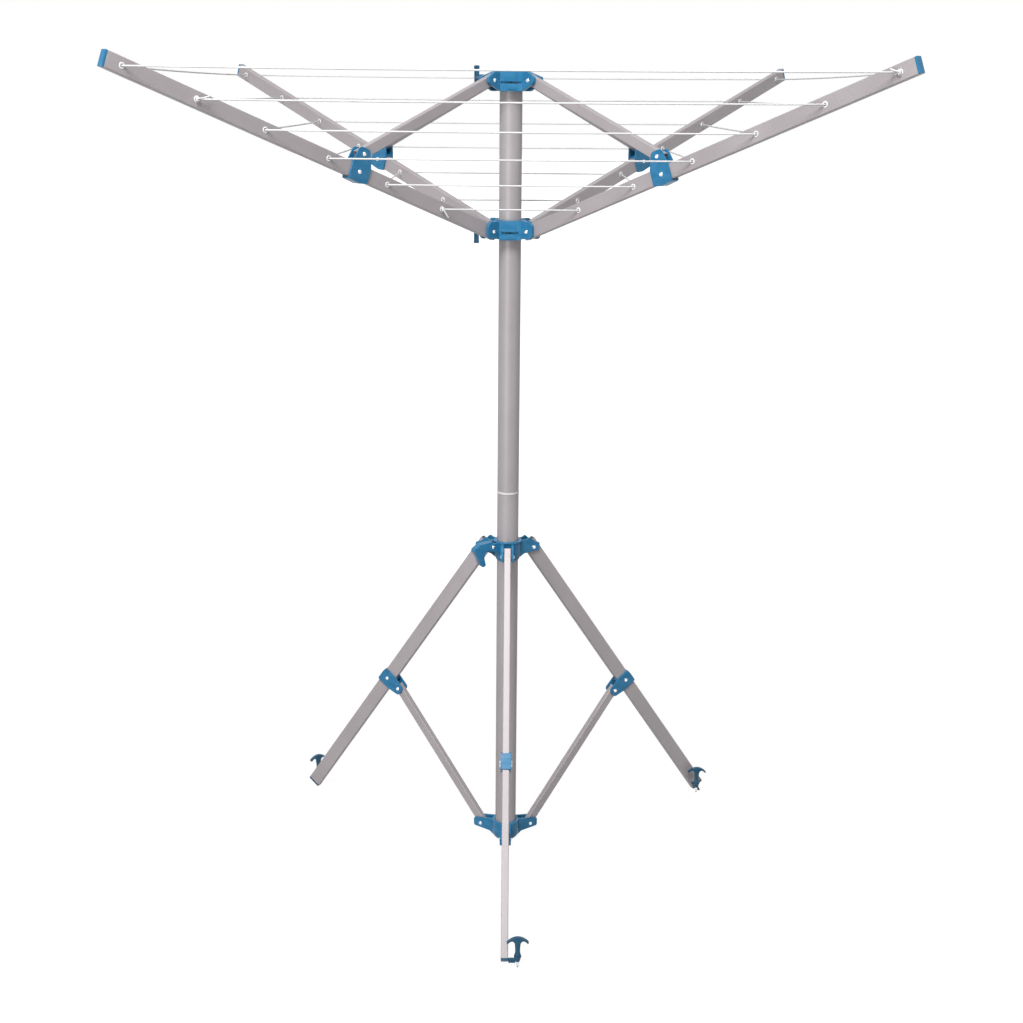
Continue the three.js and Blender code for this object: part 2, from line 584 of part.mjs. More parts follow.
function buildBaseHub(root) {
  const low = -BASE_HUB_Z;
  const high = 21;
  const cup = turned([
    [0, low], [COLLAR_RADIUS - 13, low], [COLLAR_RADIUS - 7, low + 3], [COLLAR_RADIUS - 1, low + 10],
    [COLLAR_RADIUS, low + 16], [COLLAR_RADIUS, high], [0, high],
  ]);
  const pinHoles = Object.values(LEGS).map((azimuth) =>
    pinHole(clevis(STAY_WIDTH, BASE_CHEEK) / 2 + 1, PIVOT_RADIUS).rotateZ(radians(azimuth)));
  const mastSocket = disc(MAST_RADIUS + FIT, low + baseFloor, high + 1);
  const hub = cut(tripodCollar(cup, baseEar, STAY_WIDTH), mastSocket, ...pinHoles);
  const group = new THREE.Group();
  group.position.z = BASE_HUB_Z;
  root.add(group);
  addMesh(group, 'base_hub', toGeometry(hub), bluePlastic);
}

function legTube() {
  const tube = boxTube(-legEnd, legLength - CAP_FLANGE - FIT, LEG_WIDTH, LEG_HEIGHT);
  const pivotHole = rodAcross(PIN_HEAD_RADIUS + FIT, -LEG_WIDTH, LEG_WIDTH, 0, 0);
  return cut(tube, pivotHole, pinHole(LEG_WIDTH, LEG_BRACKET_AT));
}

function stayTube() {
  const past = memberEnd(STAY_HEIGHT);
  const tube = boxTube(-past, stayLength + past, STAY_WIDTH, STAY_HEIGHT);
  return cut(tube, pinHole(STAY_WIDTH), pinHole(STAY_WIDTH, stayLength));
}

const pegEye = { radius: 6.5, low: 13, high: 22 };

// Foot plug with an eye for the ground peg beside it, upright when the leg stands open.
function footPlug(side, out) {
  const wingHalf = 5;
  const wingAt = Math.sign(out) * (LEG_HEIGHT / 2 - wingHalf - 2);    // along the plug's height
  const wingSpan = ordered(0, side * (PEG_OFFSET - 8));
  const wing = block(legLength - CAP_FLANGE, legLength, ...wingSpan, wingAt - wingHalf, wingAt + wingHalf);
  const plug = endPlug(legLength, LEG_WIDTH, LEG_HEIGHT)
    .add(toSolid(wing))
    .rotate([0, LEG_TILT, 0])
    .translate([PIVOT_RADIUS, 0, TRIPOD_HUB_Z]);
  const wingX = footRadius + wingAt * Math.sin(legTilt);
  const wingZ = footRise + wingAt * Math.cos(legTilt) - 3;
  const eyeX = footRadius + out;
  const neckHalf = pegEye.radius - 2.5;
  const neckShape = outline([
    [wingX - wingHalf, wingZ, 1], [wingX + wingHalf, wingZ, 1],
    [eyeX + neckHalf, pegEye.high, 2], [eyeX - neckHalf, pegEye.high, 2],
  ]);
  const [neckFrom, neckTo] = ordered(side * (LEG_WIDTH / 2 + FIT), side * PEG_OFFSET);
  const neck = radialPlate(neckShape, neckTo - neckFrom, (neckFrom + neckTo) / 2);
  const place = (geometry) => geometry.translate(eyeX, side * PEG_OFFSET, 0);
  const eye = place(disc(pegEye.radius, pegEye.low, pegEye.high, ROUND_SIDES));
  const bore = place(disc(PEG_RADIUS + FIT, -1, PEG_TOP, PIN_SIDES));
  return cut(plug.add(toSolid(neck)).add(toSolid(eye)), bore);
}

// Ground peg parked in its eye: pointed stem, collar that sits on the eye, and a roof-shaped handle.
function groundPeg(turnDegrees) {
  const half = PEG_HANDLE / 2;
  const eaves = PEG_TOP - 19;
  const soffit = PEG_TOP - 13;
  const handle = outline([
    [-half, eaves, 2], [-half + 6, eaves - 1, 2], [-5, soffit, 3], [5, soffit, 3],
    [half - 6, eaves - 1, 2], [half, eaves, 2], [half - 1, PEG_TOP - 11, 3], [0, PEG_TOP, 6],
    [-half + 1, PEG_TOP - 11, 3],
  ]);
  const seat = pegEye.high + FIT;
  const collarRadius = pegEye.radius - 0.5;
  const neckRadius = PEG_RADIUS + 1.5;
  const stem = turned([
    [0, 0.5], [PEG_RADIUS - 1, 6], [PEG_RADIUS, 10], [PEG_RADIUS, seat], [collarRadius, seat],
    [collarRadius, seat + 3], [neckRadius, seat + 4.5], [neckRadius, PEG_TOP - 8], [0, PEG_TOP - 8],
  ], PIN_SIDES);
  const handleWidth = 9;
  return toGeometry(join(stem, radialPlate(handle, handleWidth))).rotateZ(radians(turnDegrees));
}

function buildLeg(root, name, azimuth) {
  const plane = radialGroup(root, azimuth);
  const leg = memberGroup(plane, PIVOT_RADIUS, TRIPOD_HUB_Z, -legTilt);
  addMesh(leg, `leg_${name}`, toGeometry(legTube()), aluminium);
  const foot = footPlug(PEG_SIDE[name], PEG_OUT[name]);
  addMesh(plane, `foot_${name}`, toGeometry(foot), darkPlastic);

  const bracket = new THREE.Group();
  bracket.position.x = LEG_BRACKET_AT;
  bracket.rotation.x = Math.PI;                                // ears on the inner side of the leg
  leg.add(bracket);
  const saddleBody = saddle({
    tubeWidth: LEG_WIDTH, tubeHeight: LEG_HEIGHT, inward: 17, outward: 18, belly: 0,
    pinRise: STAY_PIN_DROP, earRadius: 10.5,
  });
  addMesh(bracket, `leg_bracket_${name}`, toGeometry(saddleBody), bluePlastic);
  const upperPin = toGeometry(rivet(saddleSpan(LEG_WIDTH))).translate(0, 0, STAY_PIN_DROP);
  addMesh(bracket, `stay_upper_pin_${name}`, upperPin, steel);

  const stay = memberGroup(plane, PIVOT_RADIUS, BASE_HUB_Z, stayTilt);
  addMesh(stay, `stay_${name}`, toGeometry(stayTube()), aluminium);
  const lowerPin = toGeometry(rivet(clevis(STAY_WIDTH, BASE_CHEEK)));
  addMesh(stay, `stay_lower_pin_${name}`, lowerPin, steel);

  const peg = new THREE.Group();
  peg.position.set(footRadius + PEG_OUT[name], PEG_SIDE[name] * PEG_OFFSET, 0);
  plane.add(peg);
  addMesh(peg, `peg_${name}`, groundPeg(PEG_TURN[name]), darkPlastic);
}

// ---- Line ---------------------------------------------------------------------------------------
// A run of straight stretches whose rings stand on the bisector of each bend.
class LineRun extends THREE.Curve {
  constructor(points) {
    super();
    this.points = points;
  }

  getPoint(t, target = new THREE.Vector3()) {
    const place = t * (this.points.length - 1);
    const index = Math.min(Math.floor(place), this.points.length - 2);
    return target.lerpVectors(this.points[index], this.points[index + 1], place - index);
  }

  getPointAt(u, target) {
    return this.getPoint(u, target);
  }

  getTangentAt(u, target = new THREE.Vector3()) {
    const index = Math.round(u * (this.points.length - 1));
    const here = this.points[index];
    target.set(0, 0, 0);
    if (index > 0) target.add(here.clone().sub(this.points[index - 1]).normalize());
    if (index < this.points.length - 1) target.add(this.points[index + 1].clone().sub(here).normalize());
    return target.normalize();
  }
}

function lineTube(points) {
  const section = new THREE.Shape().absarc(0, 0, LINE_RADIUS, 0, 2 * Math.PI, false);
  return new THREE.ExtrudeGeometry(section, {
    steps: points.length - 1, curveSegments: 3, extrudePath: new LineRun(points),
  });
}

// Point of an arm: distance from its pivot, sideways (anticlockwise positive) and above its middle line.
function onArm(name, along, sideways, above = 0) {
  return new THREE.Vector3(along, sideways, above)
    .applyAxisAngle(new THREE.Vector3(0, 1, 0), -armTilt)
    .add(new THREE.Vector3(PIVOT_RADIUS, 0, LOWER_HUB_Z))
    .applyAxisAngle(new THREE.Vector3(0, 0, 1), radians(ARMS[name]));
}

const armFace = ARM_WIDTH / 2;
const tubeInside = armFace - TUBE_WALL - LINE_RADIUS;          // line's middle against the inside of the wall
const through = (name, row, from) => [1, -1].map((face) => onArm(name, holeAt(row), from * face * armFace));

// Five outer rows in one length: it starts at the tip of the front right arm, goes round clockwise and
// steps inward to the next row inside that hollow arm, above the bracket's rivet.
function outerLine() {
  const insideRise = 6.5;
  const insideStep = 9;
  const insideEnd = 54;
  const turning = 2;
  const points = [onArm('front_right', holeAt(0), 1 - tubeInside), onArm('front_right', holeAt(0), -armFace)];
  for (let row = 0; row < ROWS - 1; row += 1) {
    for (const name of ['front_left', 'rear_left', 'rear_right']) points.push(...through(name, row, 1));
    const here = holeAt(row);
    points.push(onArm('front_right', here, armFace));
    points.push(onArm('front_right', here, tubeInside));
    points.push(onArm('front_right', here - insideStep, turning, insideRise));
    if (row === ROWS - 2) {
      points.push(onArm('front_right', here - insideEnd, turning, insideRise));
    } else {
      const next = holeAt(row + 1);
      points.push(onArm('front_right', next + insideStep, -turning, insideRise));
      points.push(onArm('front_right', next, -tubeInside));
      points.push(onArm('front_right', next, -armFace));
    }
  }
  return lineTube(points);
}

// The innermost row is a loop of its own, tied at the front left arm.
function innerLine() {
  const row = ROWS - 1;
  const hole = holeAt(row);
  const points = [onArm('front_left', hole, tubeInside - 0.7), onArm('front_left', hole, armFace)];
  for (const name of ['front_right', 'rear_right', 'rear_left']) points.push(...through(name, row, -1));
  points.push(onArm('front_left', hole, -armFace), onArm('front_left', hole, 2.2 - tubeInside));
  return lineTube(points);
}

// ---- Assembly -----------------------------------------------------------------------------------
const clothesline = new THREE.Group();
buildMast(clothesline);
buildTopHub(clothesline);
buildLowerHub(clothesline);
for (const [name, azimuth] of Object.entries(ARMS)) buildArm(clothesline, name, azimuth);
buildTripodHub(clothesline);
buildBaseHub(clothesline);
for (const [name, azimuth] of Object.entries(LEGS)) buildLeg(clothesline, name, azimuth);
addMesh(clothesline, 'line_outer_rows', outerLine(), linePvc);
addMesh(clothesline, 'line_inner_loop', innerLine(), linePvc);

export default clothesline;
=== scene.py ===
from math import atan2, copysign, cos, pi, radians, sin, sqrt, tan

import bmesh
import bpy
from mathutils import Matrix, Vector


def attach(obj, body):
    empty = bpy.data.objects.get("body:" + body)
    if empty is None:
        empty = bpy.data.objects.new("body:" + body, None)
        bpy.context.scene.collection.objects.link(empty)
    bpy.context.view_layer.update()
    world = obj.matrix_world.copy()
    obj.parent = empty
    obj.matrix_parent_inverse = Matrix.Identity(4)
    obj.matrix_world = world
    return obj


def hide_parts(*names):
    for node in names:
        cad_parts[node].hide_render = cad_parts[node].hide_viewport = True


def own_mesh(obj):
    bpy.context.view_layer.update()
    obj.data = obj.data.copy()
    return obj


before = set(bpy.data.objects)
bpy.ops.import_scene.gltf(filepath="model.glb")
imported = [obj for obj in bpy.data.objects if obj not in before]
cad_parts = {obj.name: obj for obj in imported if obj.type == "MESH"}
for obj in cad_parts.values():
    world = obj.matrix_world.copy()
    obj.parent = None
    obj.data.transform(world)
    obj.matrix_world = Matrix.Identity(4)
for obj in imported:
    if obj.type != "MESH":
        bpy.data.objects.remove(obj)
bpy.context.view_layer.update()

# ---- Sizes of the clothesline, in millimetres ----
MM = 0.001
MAST_RADIUS = 22.5
MAST_WALL = 1.5
SEAM_Z = 796
SPIGOT_RADIUS = 18
SPIGOT_DEPTH = 100
BUSH_FLANGE = 5
BUSH_DEPTH = 40
TOP_HUB_Z = 1627
LOWER_HUB_Z = 1338.5
TRIPOD_HUB_Z = 669.5
BASE_HUB_Z = 23.5
CUP_FLOOR = 7
PIVOT_RADIUS = 58
HUB_HALF = 20
COLLAR_RADIUS = 29
CROWN_WALL = 4
HUB_CHEEK = 6
BASE_CHEEK = 5
WEB_WALL = 5
WEB_HALF = 21.5
GROOVE_DEPTH = 4
PANEL_HALF, PANEL_RISE = 11, 1.2
ARM_TILT = radians(20.34)
ARM_LENGTH = 900
ARM_WIDTH, ARM_HEIGHT = 14, 28
STRUT_WIDTH, STRUT_HEIGHT = 13, 20
ARM_BRACKET_AT = 360
STRUT_PIN_RISE = 33
ROWS = 6
FIRST_HOLE = 142
HOLE_PITCH = 144.8
LINE_RADIUS = 1.5
LINE_HOLE = 3.2
LEG_TILT = radians(54.6)
LEG_WIDTH, LEG_HEIGHT = 14, 30
STAY_WIDTH, STAY_HEIGHT = 13, 18
LEG_BRACKET_AT = 430
STAY_PIN_DROP = 35
TUBE_WALL = 1.3
TUBE_CORNER = 1.7
PLUG_RIM = 4.5
BRACKET_WALL = 3.5
PIN_RADIUS = 3
PIN_HEAD = 3.8
PEG_RADIUS = 3
PEG_OFFSET = 25
PEG_TOP = 65
PEG_HANDLE = 42
FIT = 0.3
SLIDE = 0.4
SLOT_GAP = 0.8

ARMS = {"front_left": -135, "front_right": -45, "rear_right": 45, "rear_left": 135}
LEGS = {"front": -90, "right": 30, "left": 150}
# A peg's side of its leg, its distance past the leg's end, and its handle's turn in degrees.
PEGS = {"front": (1, 8, 92), "right": (-1, -19, -30), "left": (-1, 8, -115)}
LEVER_AZIMUTH = -150
KNOB_AZIMUTH = 180

HOLE_PLAY = 0.15  # round a rivet in a tube's wall
LINE_SAG, SAG_SPAN = 2.2, 600  # a half stretch this long hangs down this far
ARM_UNFOLD = radians(67.2765)  # turn of an arm between open and folded
WORLD_LIGHT = 0.2  # what the white surroundings give the object


def along_and_above(x, z, along, above, tilt):
    """Point in a member's plane: along it from a pivot at x and z, and above it."""
    return Vector((x + along * cos(tilt) - above * sin(tilt),
                   z + along * sin(tilt) + above * cos(tilt)))


strut_pin = along_and_above(PIVOT_RADIUS, LOWER_HUB_Z, ARM_BRACKET_AT, STRUT_PIN_RISE, ARM_TILT)
strut_run = Vector((PIVOT_RADIUS, TOP_HUB_Z)) - strut_pin
foot_rise = LEG_HEIGHT / 2 * cos(LEG_TILT)
leg_length = (TRIPOD_HUB_Z - foot_rise) / sin(LEG_TILT)
foot_radius = PIVOT_RADIUS + leg_length * cos(LEG_TILT)
stay_pin = along_and_above(PIVOT_RADIUS, TRIPOD_HUB_Z, LEG_BRACKET_AT, -STAY_PIN_DROP, -LEG_TILT)
base_pin = Vector((PIVOT_RADIUS, BASE_HUB_Z))
stay_run = stay_pin - base_pin
head_half = ARM_WIDTH / 2 + SLOT_GAP + HUB_CHEEK
web_face = WEB_HALF + head_half * sqrt(2)
boss_face = web_face + 5
bracket_span = 2 * (FIT + BRACKET_WALL + 0.3)


def hole_at(row):
    """Distance from an arm's pivot to a line hole; row 0 is the outermost."""
    return FIRST_HOLE + (ROWS - 1 - row) * HOLE_PITCH


# ---- Places on the object ----
def plane_at(azimuth, height=0):
    """Frame on the mast's axis, x pointing along an azimuth."""
    return Matrix.Translation((0, 0, height)) @ Matrix.Rotation(radians(azimuth), 4, "Z")


def member_at(azimuth, radius, height, tilt):
    """Frame at a pivot, x along the member, tilted up from level."""
    pivot = plane_at(azimuth) @ Matrix.Translation((radius, 0, height))
    return pivot @ Matrix.Rotation(-tilt, 4, "Y")


def arm_at(name):
    return member_at(ARMS[name], PIVOT_RADIUS, LOWER_HUB_Z, ARM_TILT)


def leg_at(name):
    return member_at(LEGS[name], PIVOT_RADIUS, TRIPOD_HUB_Z, -LEG_TILT)


# ---- Nodes ----
class Value:
    """A node's output used in arithmetic: each operator adds a Math node."""

    def __init__(self, recipe, socket):
        self.recipe = recipe
        self.socket = socket

    def maths(self, operation, *others):
        sockets = dict(enumerate((self, *others)))
        return self.recipe.node("ShaderNodeMath", sockets, operation=operation)

    def __add__(self, other):
        return self.maths("ADD", other)

    def __mul__(self, other):
        return self.maths("MULTIPLY", other)

    def __sub__(self, other):
        return self.maths("SUBTRACT", other)

    def __rsub__(self, other):
        return self * -1 + other

    __radd__ = __add__
    __rmul__ = __mul__

    def between(self, low, high, start=0.0, end=1.0):
        """Carried smoothly from low..high to start..end, and held beyond both ends."""
        sockets = {0: self, 1: low, 2: high, 3: start, 4: end}
        return self.recipe.node("ShaderNodeMapRange", sockets, interpolation_type="SMOOTHSTEP")


class Recipe:
    """A node tree under construction."""

    def __init__(self, tree):
        self.tree = tree
        self.tree.nodes.clear()

    def feed(self, socket, value):
        if isinstance(value, Value):
            self.tree.links.new(value.socket, socket)
        elif isinstance(value, list):
            for one in value:
                self.feed(socket, one)
        elif socket.type == "RGBA":
            socket.default_value = (*value, 1)
        else:
            socket.default_value = value

    def node(self, kind, sockets=None, output=0, **settings):
        """Adds a node with its settings, values and links, and gives one output."""
        node = self.tree.nodes.new(kind)
        for key, value in settings.items():
            setattr(node, key, value)
        for key, value in (sockets or {}).items():
            self.feed(node.inputs[key], value)
        return Value(self, node.outputs[output]) if node.outputs else None

    def seen(self):
        """1 where a ray comes from the camera, or by a gloss or glass; 0 where it only lights."""
        camera, glossy, clear = (self.node("ShaderNodeLightPath", output=f"Is {kind} Ray")
                                 for kind in ("Camera", "Glossy", "Transmission"))
        return camera.maths("MAXIMUM", glossy).maths("MAXIMUM", clear)


class Finish(Recipe):
    """A material under construction."""

    def __init__(self, name):
        self.material = bpy.data.materials.new(name)
        self.material.use_nodes = True
        super().__init__(self.material.node_tree)

    def place(self, scale=(1, 1, 1), source="Object"):
        """Place on the piece, in metres times scale."""
        start = self.node("ShaderNodeTexCoord", output=source)
        return self.node("ShaderNodeMapping", {"Vector": start, "Scale": scale})

    def noise(self, scale, detail, rough, place=None):
        if place is None:
            place = self.place()
        sockets = {"Vector": place, "Scale": scale, "Detail": detail, "Roughness": rough}
        return self.node("ShaderNodeTexNoise", sockets)

    def mix(self, factor, first, second):
        sockets = {0: factor, 6: first, 7: second}
        return self.node("ShaderNodeMix", sockets, 2, data_type="RGBA")

    def bump(self, height, distance, strength, under=None):
        sockets = {"Height": height, "Distance": distance, "Strength": strength}
        if under is not None:
            sockets["Normal"] = under
        return self.node("ShaderNodeBump", sockets)

    def surface(self, **sockets):
        named = {key.replace("_", " "): value for key, value in sockets.items()}
        shader = self.node("ShaderNodeBsdfPrincipled", named)
        self.node("ShaderNodeOutputMaterial", {"Surface": shader})
        return self.material


def lighter(colour, share):
    return tuple(c + (1 - c) * share for c in colour)


def darker(colour, share):
    return tuple(c * (1 - share) for c in colour)


# ---- Finishes ----
def drawn_aluminium(name, tone):
    """Matt anodised tube: die lines along its length, cloudy anodising and a few handling scuffs.
    The UV map runs in metres, along the tube and round it."""
    f = Finish(name)
    die_lines = f.noise(1.0, 3.0, 0.6, f.place((2.5, 1500, 1), "UV"))
    fine_lines = f.noise(1.0, 2.0, 0.5, f.place((9, 5200, 1), "UV"))
    clouds = f.noise(8.0, 4.0, 0.6)
    scuffs = f.noise(1.0, 6.0, 0.72, f.place((70, 260, 1), "UV")).between(0.66, 0.76)
    shade = (die_lines * 0.4 + clouds * 0.6).between(0.3, 0.7)
    colour = f.mix(shade, darker(tone, 0.1), lighter(tone, 0.03))
    colour = f.mix(scuffs * 0.3, colour, lighter(tone, 0.3))
    roughness = 0.36 + clouds * 0.1 + fine_lines * 0.1 - scuffs * 0.05
    grain = f.bump(die_lines * 0.6 + fine_lines * 0.4, 0.00003, 0.6)
    return f.surface(Base_Color=colour, Metallic=0.2, Roughness=roughness, Normal=grain,
                     Specular_IOR_Level=0.3)


def moulded_plastic(name, colour, rough=0.26):
    """Injection-moulded plastic: fine spark-eroded grain, slow flow marks and settled dust."""
    f = Finish(name)
    grain = f.noise(2400.0, 3.0, 0.6)
    flow = f.noise(34.0, 3.0, 0.55, f.place((1, 1, 2.2)))
    dust = f.noise(240.0, 5.0, 0.65).between(0.58, 0.8)
    body = f.mix(flow.between(0.3, 0.7), darker(colour, 0.14), lighter(colour, 0.02))
    body = f.mix(dust * 0.08, body, lighter(colour, 0.2))
    roughness = rough + grain * 0.1 + dust * 0.14
    normal = f.bump(grain, 0.00003, 0.35, f.bump(flow, 0.00012, 0.25))
    return f.surface(Base_Color=body, Roughness=roughness, Normal=normal, IOR=1.5,
                     Specular_IOR_Level=0.3)


ZINC = (0.78, 0.79, 0.81)


def plated_steel(name):
    """Zinc-plated steel with a slight spangle and spots of tarnish."""
    f = Finish(name)
    spangle = f.noise(900.0, 3.0, 0.6)
    tarnish = f.noise(210.0, 4.0, 0.6).between(0.45, 0.7)
    colour = f.mix(tarnish * 0.4, ZINC, darker(ZINC, 0.35))
    roughness = 0.26 + tarnish * 0.16 + spangle * 0.08
    normal = f.bump(spangle, 0.00002, 0.5)
    return f.surface(Base_Color=colour, Metallic=0.9, Roughness=roughness, Normal=normal)


def peg_steel(name):
    """Zinc-plated peg whose lowest few millimetres turn dark, rougher and less metallic. Height is
    read from the ground up.
    """
    f = Finish(name)
    spangle = f.noise(900.0, 3.0, 0.6)
    height = f.node("ShaderNodeSeparateXYZ", {0: f.place()}, "Z")
    # Darker towards the ground: fully dark up to 3 mm, fading out by 7.5 mm, with a ragged edge.
    dark_point = (height + spangle * 0.002).between(0.003, 0.0075, 1.0, 0.0)
    colour = f.mix(dark_point, ZINC, (0.06, 0.055, 0.05))
    roughness = 0.3 + dark_point * 0.35 + spangle * 0.08
    normal = f.bump(spangle, 0.00002, 0.5)
    metal = 0.9 - dark_point * 0.6
    return f.surface(Base_Color=colour, Metallic=metal, Roughness=roughness, Normal=normal)


def line_cover(name):
    """White plastic-covered line: the core's slow twist shows through, with a little grey dirt."""
    f = Finish(name)
    sockets = {"Vector": f.place((110, 1, 0), "UV"), "Scale": 1.0, "Distortion": 0.3, "Detail": 1.0}
    twist = f.node("ShaderNodeTexWave", sockets, 1, wave_type="BANDS", bands_direction="DIAGONAL",
                   wave_profile="SIN")
    dirt = f.noise(55.0, 5.0, 0.65).between(0.5, 0.8)
    colour = f.mix(dirt * 0.35, (0.72, 0.72, 0.715), (0.55, 0.54, 0.52))
    normal = f.bump(twist, 0.0001, 0.3)
    return f.surface(Base_Color=colour, Roughness=0.42 + dirt * 0.15, Normal=normal, IOR=1.48)


def pale_moulding(name, colour):
    """Pale nylon: fine grain with grime in its hollows."""
    f = Finish(name)
    grain = f.noise(1800.0, 3.0, 0.6)
    grime = f.noise(150.0, 4.0, 0.6).between(0.5, 0.78)
    shade = f.mix(grime * 0.4, colour, darker(colour, 0.3))
    normal = f.bump(grain, 0.00003, 0.4)
    return f.surface(Base_Color=shade, Roughness=0.4 + grain * 0.12, Normal=normal, IOR=1.49)


def studio_floor(name):
    """Pale floor: white where it is seen, still holding the object's soft shadow."""
    f = Finish(name)
    paper = f.noise(900.0, 3.0, 0.5)
    matt = f.node("ShaderNodeBsdfPrincipled", {
        "Base Color": f.mix(paper, (0.2, 0.2, 0.204), (0.22, 0.22, 0.22)), "Roughness": 0.8})
    glow = f.node("ShaderNodeEmission", {"Color": (1, 1, 1), "Strength": 1.21})
    away = f.node("ShaderNodeVectorMath", {0: f.place()}, "Value", operation="LENGTH")
    share = f.seen() * away.between(0.9, 3.5, 0.8, 1.0)
    both = f.node("ShaderNodeMixShader", {0: share, 1: matt, 2: glow})
    f.node("ShaderNodeOutputMaterial", {"Surface": both})
    return f.material


mast_finish = drawn_aluminium("mast_aluminium", (0.4, 0.37, 0.38))
tube_finish = drawn_aluminium("tube_aluminium", (0.42, 0.385, 0.4))
blue = moulded_plastic("blue_moulding", (0.018, 0.19, 0.38))
dark_blue = moulded_plastic("dark_blue_moulding", (0.004, 0.075, 0.15), 0.34)
steel = plated_steel("plated_steel")
# Peg steel that is darker over its lowest few millimetres.
dark_pointed_steel = peg_steel("peg_steel")
line_white = line_cover("line_cover")
eyelet_white = pale_moulding("eyelet_white", (0.78, 0.78, 0.77))
bush_grey = pale_moulding("bush_pale_grey", (0.72, 0.71, 0.72))


# ---- Outlines ----
def bend(start, control, end, steps):
    """Points along a curve drawn toward a control point, without its start."""
    shares = (s / steps for s in range(1, steps + 1))
    return [start * (1 - t) ** 2 + control * 2 * t * (1 - t) + end * t ** 2 for t in shares]


def outline(corners, steps=6):
    """Points round a polygon with corners [x, z, fillet], anticlockwise."""
    points = []
    for i, corner in enumerate(corners):
        here = Vector(corner[:2])
        fillet = corner[2] if len(corner) > 2 else 0
        if not fillet:
            points.append(here)
            continue
        before = (Vector(corners[i - 1][:2]) - here).normalized()
        after = (Vector(corners[(i + 1) % len(corners)][:2]) - here).normalized()
        reach = fillet / tan(before.angle(after) / 2)
        start, end = here + before * reach, here + after * reach
        points += [start] + bend(start, here, end, steps)
    return points


def curved_outline(start, *runs, steps=9):
    """Points round a closed shape made of runs (control, end)."""
    points = [Vector(start)]
    for control, end in runs:
        points += bend(points[-1], Vector(control), Vector(end), steps)
    return points[:-1]


def round_rectangle(width, height, corner, steps=5):
    """Points round a rectangle with circular corners, anticlockwise."""
    points = []
    for x, z, turn in ((1, -1, -90), (1, 1, 0), (-1, 1, 90), (-1, -1, 180)):
        for s in range(steps + 1):
            a = radians(turn + 90 * s / steps)
            points.append(Vector((x * (width / 2 - corner) + corner * cos(a),
                                  z * (height / 2 - corner) + corner * sin(a))))
    return points


# ---- Solids, in millimetres ----
class Solid:
    """One or more closed shells under construction."""

    def __init__(self, *parts):
        self.mesh = bmesh.new()
        self.mesh.loops.layers.uv.new("run")
        for part in parts:
            self.add(part)

    def add(self, part):
        held = bpy.data.meshes.new("held")
        part.mesh.to_mesh(held)
        part.mesh.free()
        self.mesh.from_mesh(held)
        bpy.data.meshes.remove(held)
        return self

    def loft(self, rings, closed=False):
        """Walls between rings of points; one-point rings close an end."""
        rings = [[self.mesh.verts.new(p) for p in points] for points in rings]
        pairs = list(zip(rings, rings[1:]))
        if closed:
            pairs.append((rings[-1], rings[0]))
        for low, high in pairs:
            count, below, above = max(len(low), len(high)), len(low), len(high)
            for i in range(count):
                j = (i + 1) % count
                corners = (low[i % below], low[j % below], high[j % above], high[i % above])
                self.mesh.faces.new(list(dict.fromkeys(corners)))
        return rings

    def outward(self):
        bmesh.ops.recalc_face_normals(self.mesh, faces=self.mesh.faces)
        return self

    def soften(self, width):
        """Rounds the sharp edges made so far, if the width isn't 0."""
        if width:
            sharp = [e for e in self.mesh.edges if e.calc_face_angle(0) > radians(38)]
            bmesh.ops.bevel(self.mesh, geom=sharp, offset=width, offset_type="OFFSET", segments=2,
                            profile=0.5, affect="EDGES", clamp_overlap=True)
        return self

    def turn(self, matrix):
        self.mesh.transform(matrix)
        return self

    def move(self, x=0, y=0, z=0):
        return self.turn(Matrix.Translation((x, y, z)))


X_UP = Matrix.Rotation(radians(90), 4, "Y")  # turns a body along z to lie along x
Y_UP = Matrix.Rotation(radians(-90), 4, "X")  # turns a body along z to lie along y


def prism(near, far, soft):
    """Body between two equal outlines."""
    made = Solid()
    for end in made.loft([near, far]):
        made.mesh.faces.new(end)
    return made.outward().soften(soft)


def plate(points, y0, y1, soft=0):
    """Plate drawn in x and z, from y0 to y1."""
    return prism([(p.x, y0, p.y) for p in points], [(p.x, y1, p.y) for p in points], soft)


def bar(points, x0, x1, soft=0):
    """Bar along x whose section is drawn sideways and up."""
    return prism([(x0, p.x, p.y) for p in points], [(x1, p.x, p.y) for p in points], soft)


def block(x0, x1, y0, y1, z0, z1, soft=0):
    corners = ((x0, z0), (x1, z0), (x1, z1), (x0, z1))
    return plate([Vector(c) for c in corners], y0, y1, soft)


def frame_plate(outer, inner, y0, y1, soft=0):
    """Plate with an opening; both outlines have as many points."""
    made = Solid()
    made.loft([[(p.x, y0, p.y) for p in outer], [(p.x, y1, p.y) for p in outer],
               [(p.x, y1, p.y) for p in inner], [(p.x, y0, p.y) for p in inner]], closed=True)
    return made.outward().soften(soft)


def turned(profile, sides=64):
    """Body turned about z from (radius, height) points; it closes on the axis, or on itself."""
    made = Solid()
    rings = []
    for radius, height in profile:
        count = sides if radius > 0 else 1
        steps = (2 * pi * s / sides for s in range(count))
        rings.append([(radius * cos(a), radius * sin(a), height) for a in steps])
    made.loft(rings, closed=profile[0][0] > 0)
    return made.outward()


def collar(bore, outside, z0, z1, lip=0.8):
    """Round collar with rounded lips."""
    thirds = (0.0, 0.3, 1.0)
    low = [(outside - lip * (1 - t), z0 + lip * (1 - sqrt(1 - (1 - t) ** 2))) for t in thirds]
    high = [(r, z1 - (z - z0)) for r, z in reversed(low)]
    half = lip / 2
    inside = [(bore + half, z1), (bore, z1 - half), (bore, z0 + half), (bore + half, z0)]
    return turned(low + high + inside, 96)


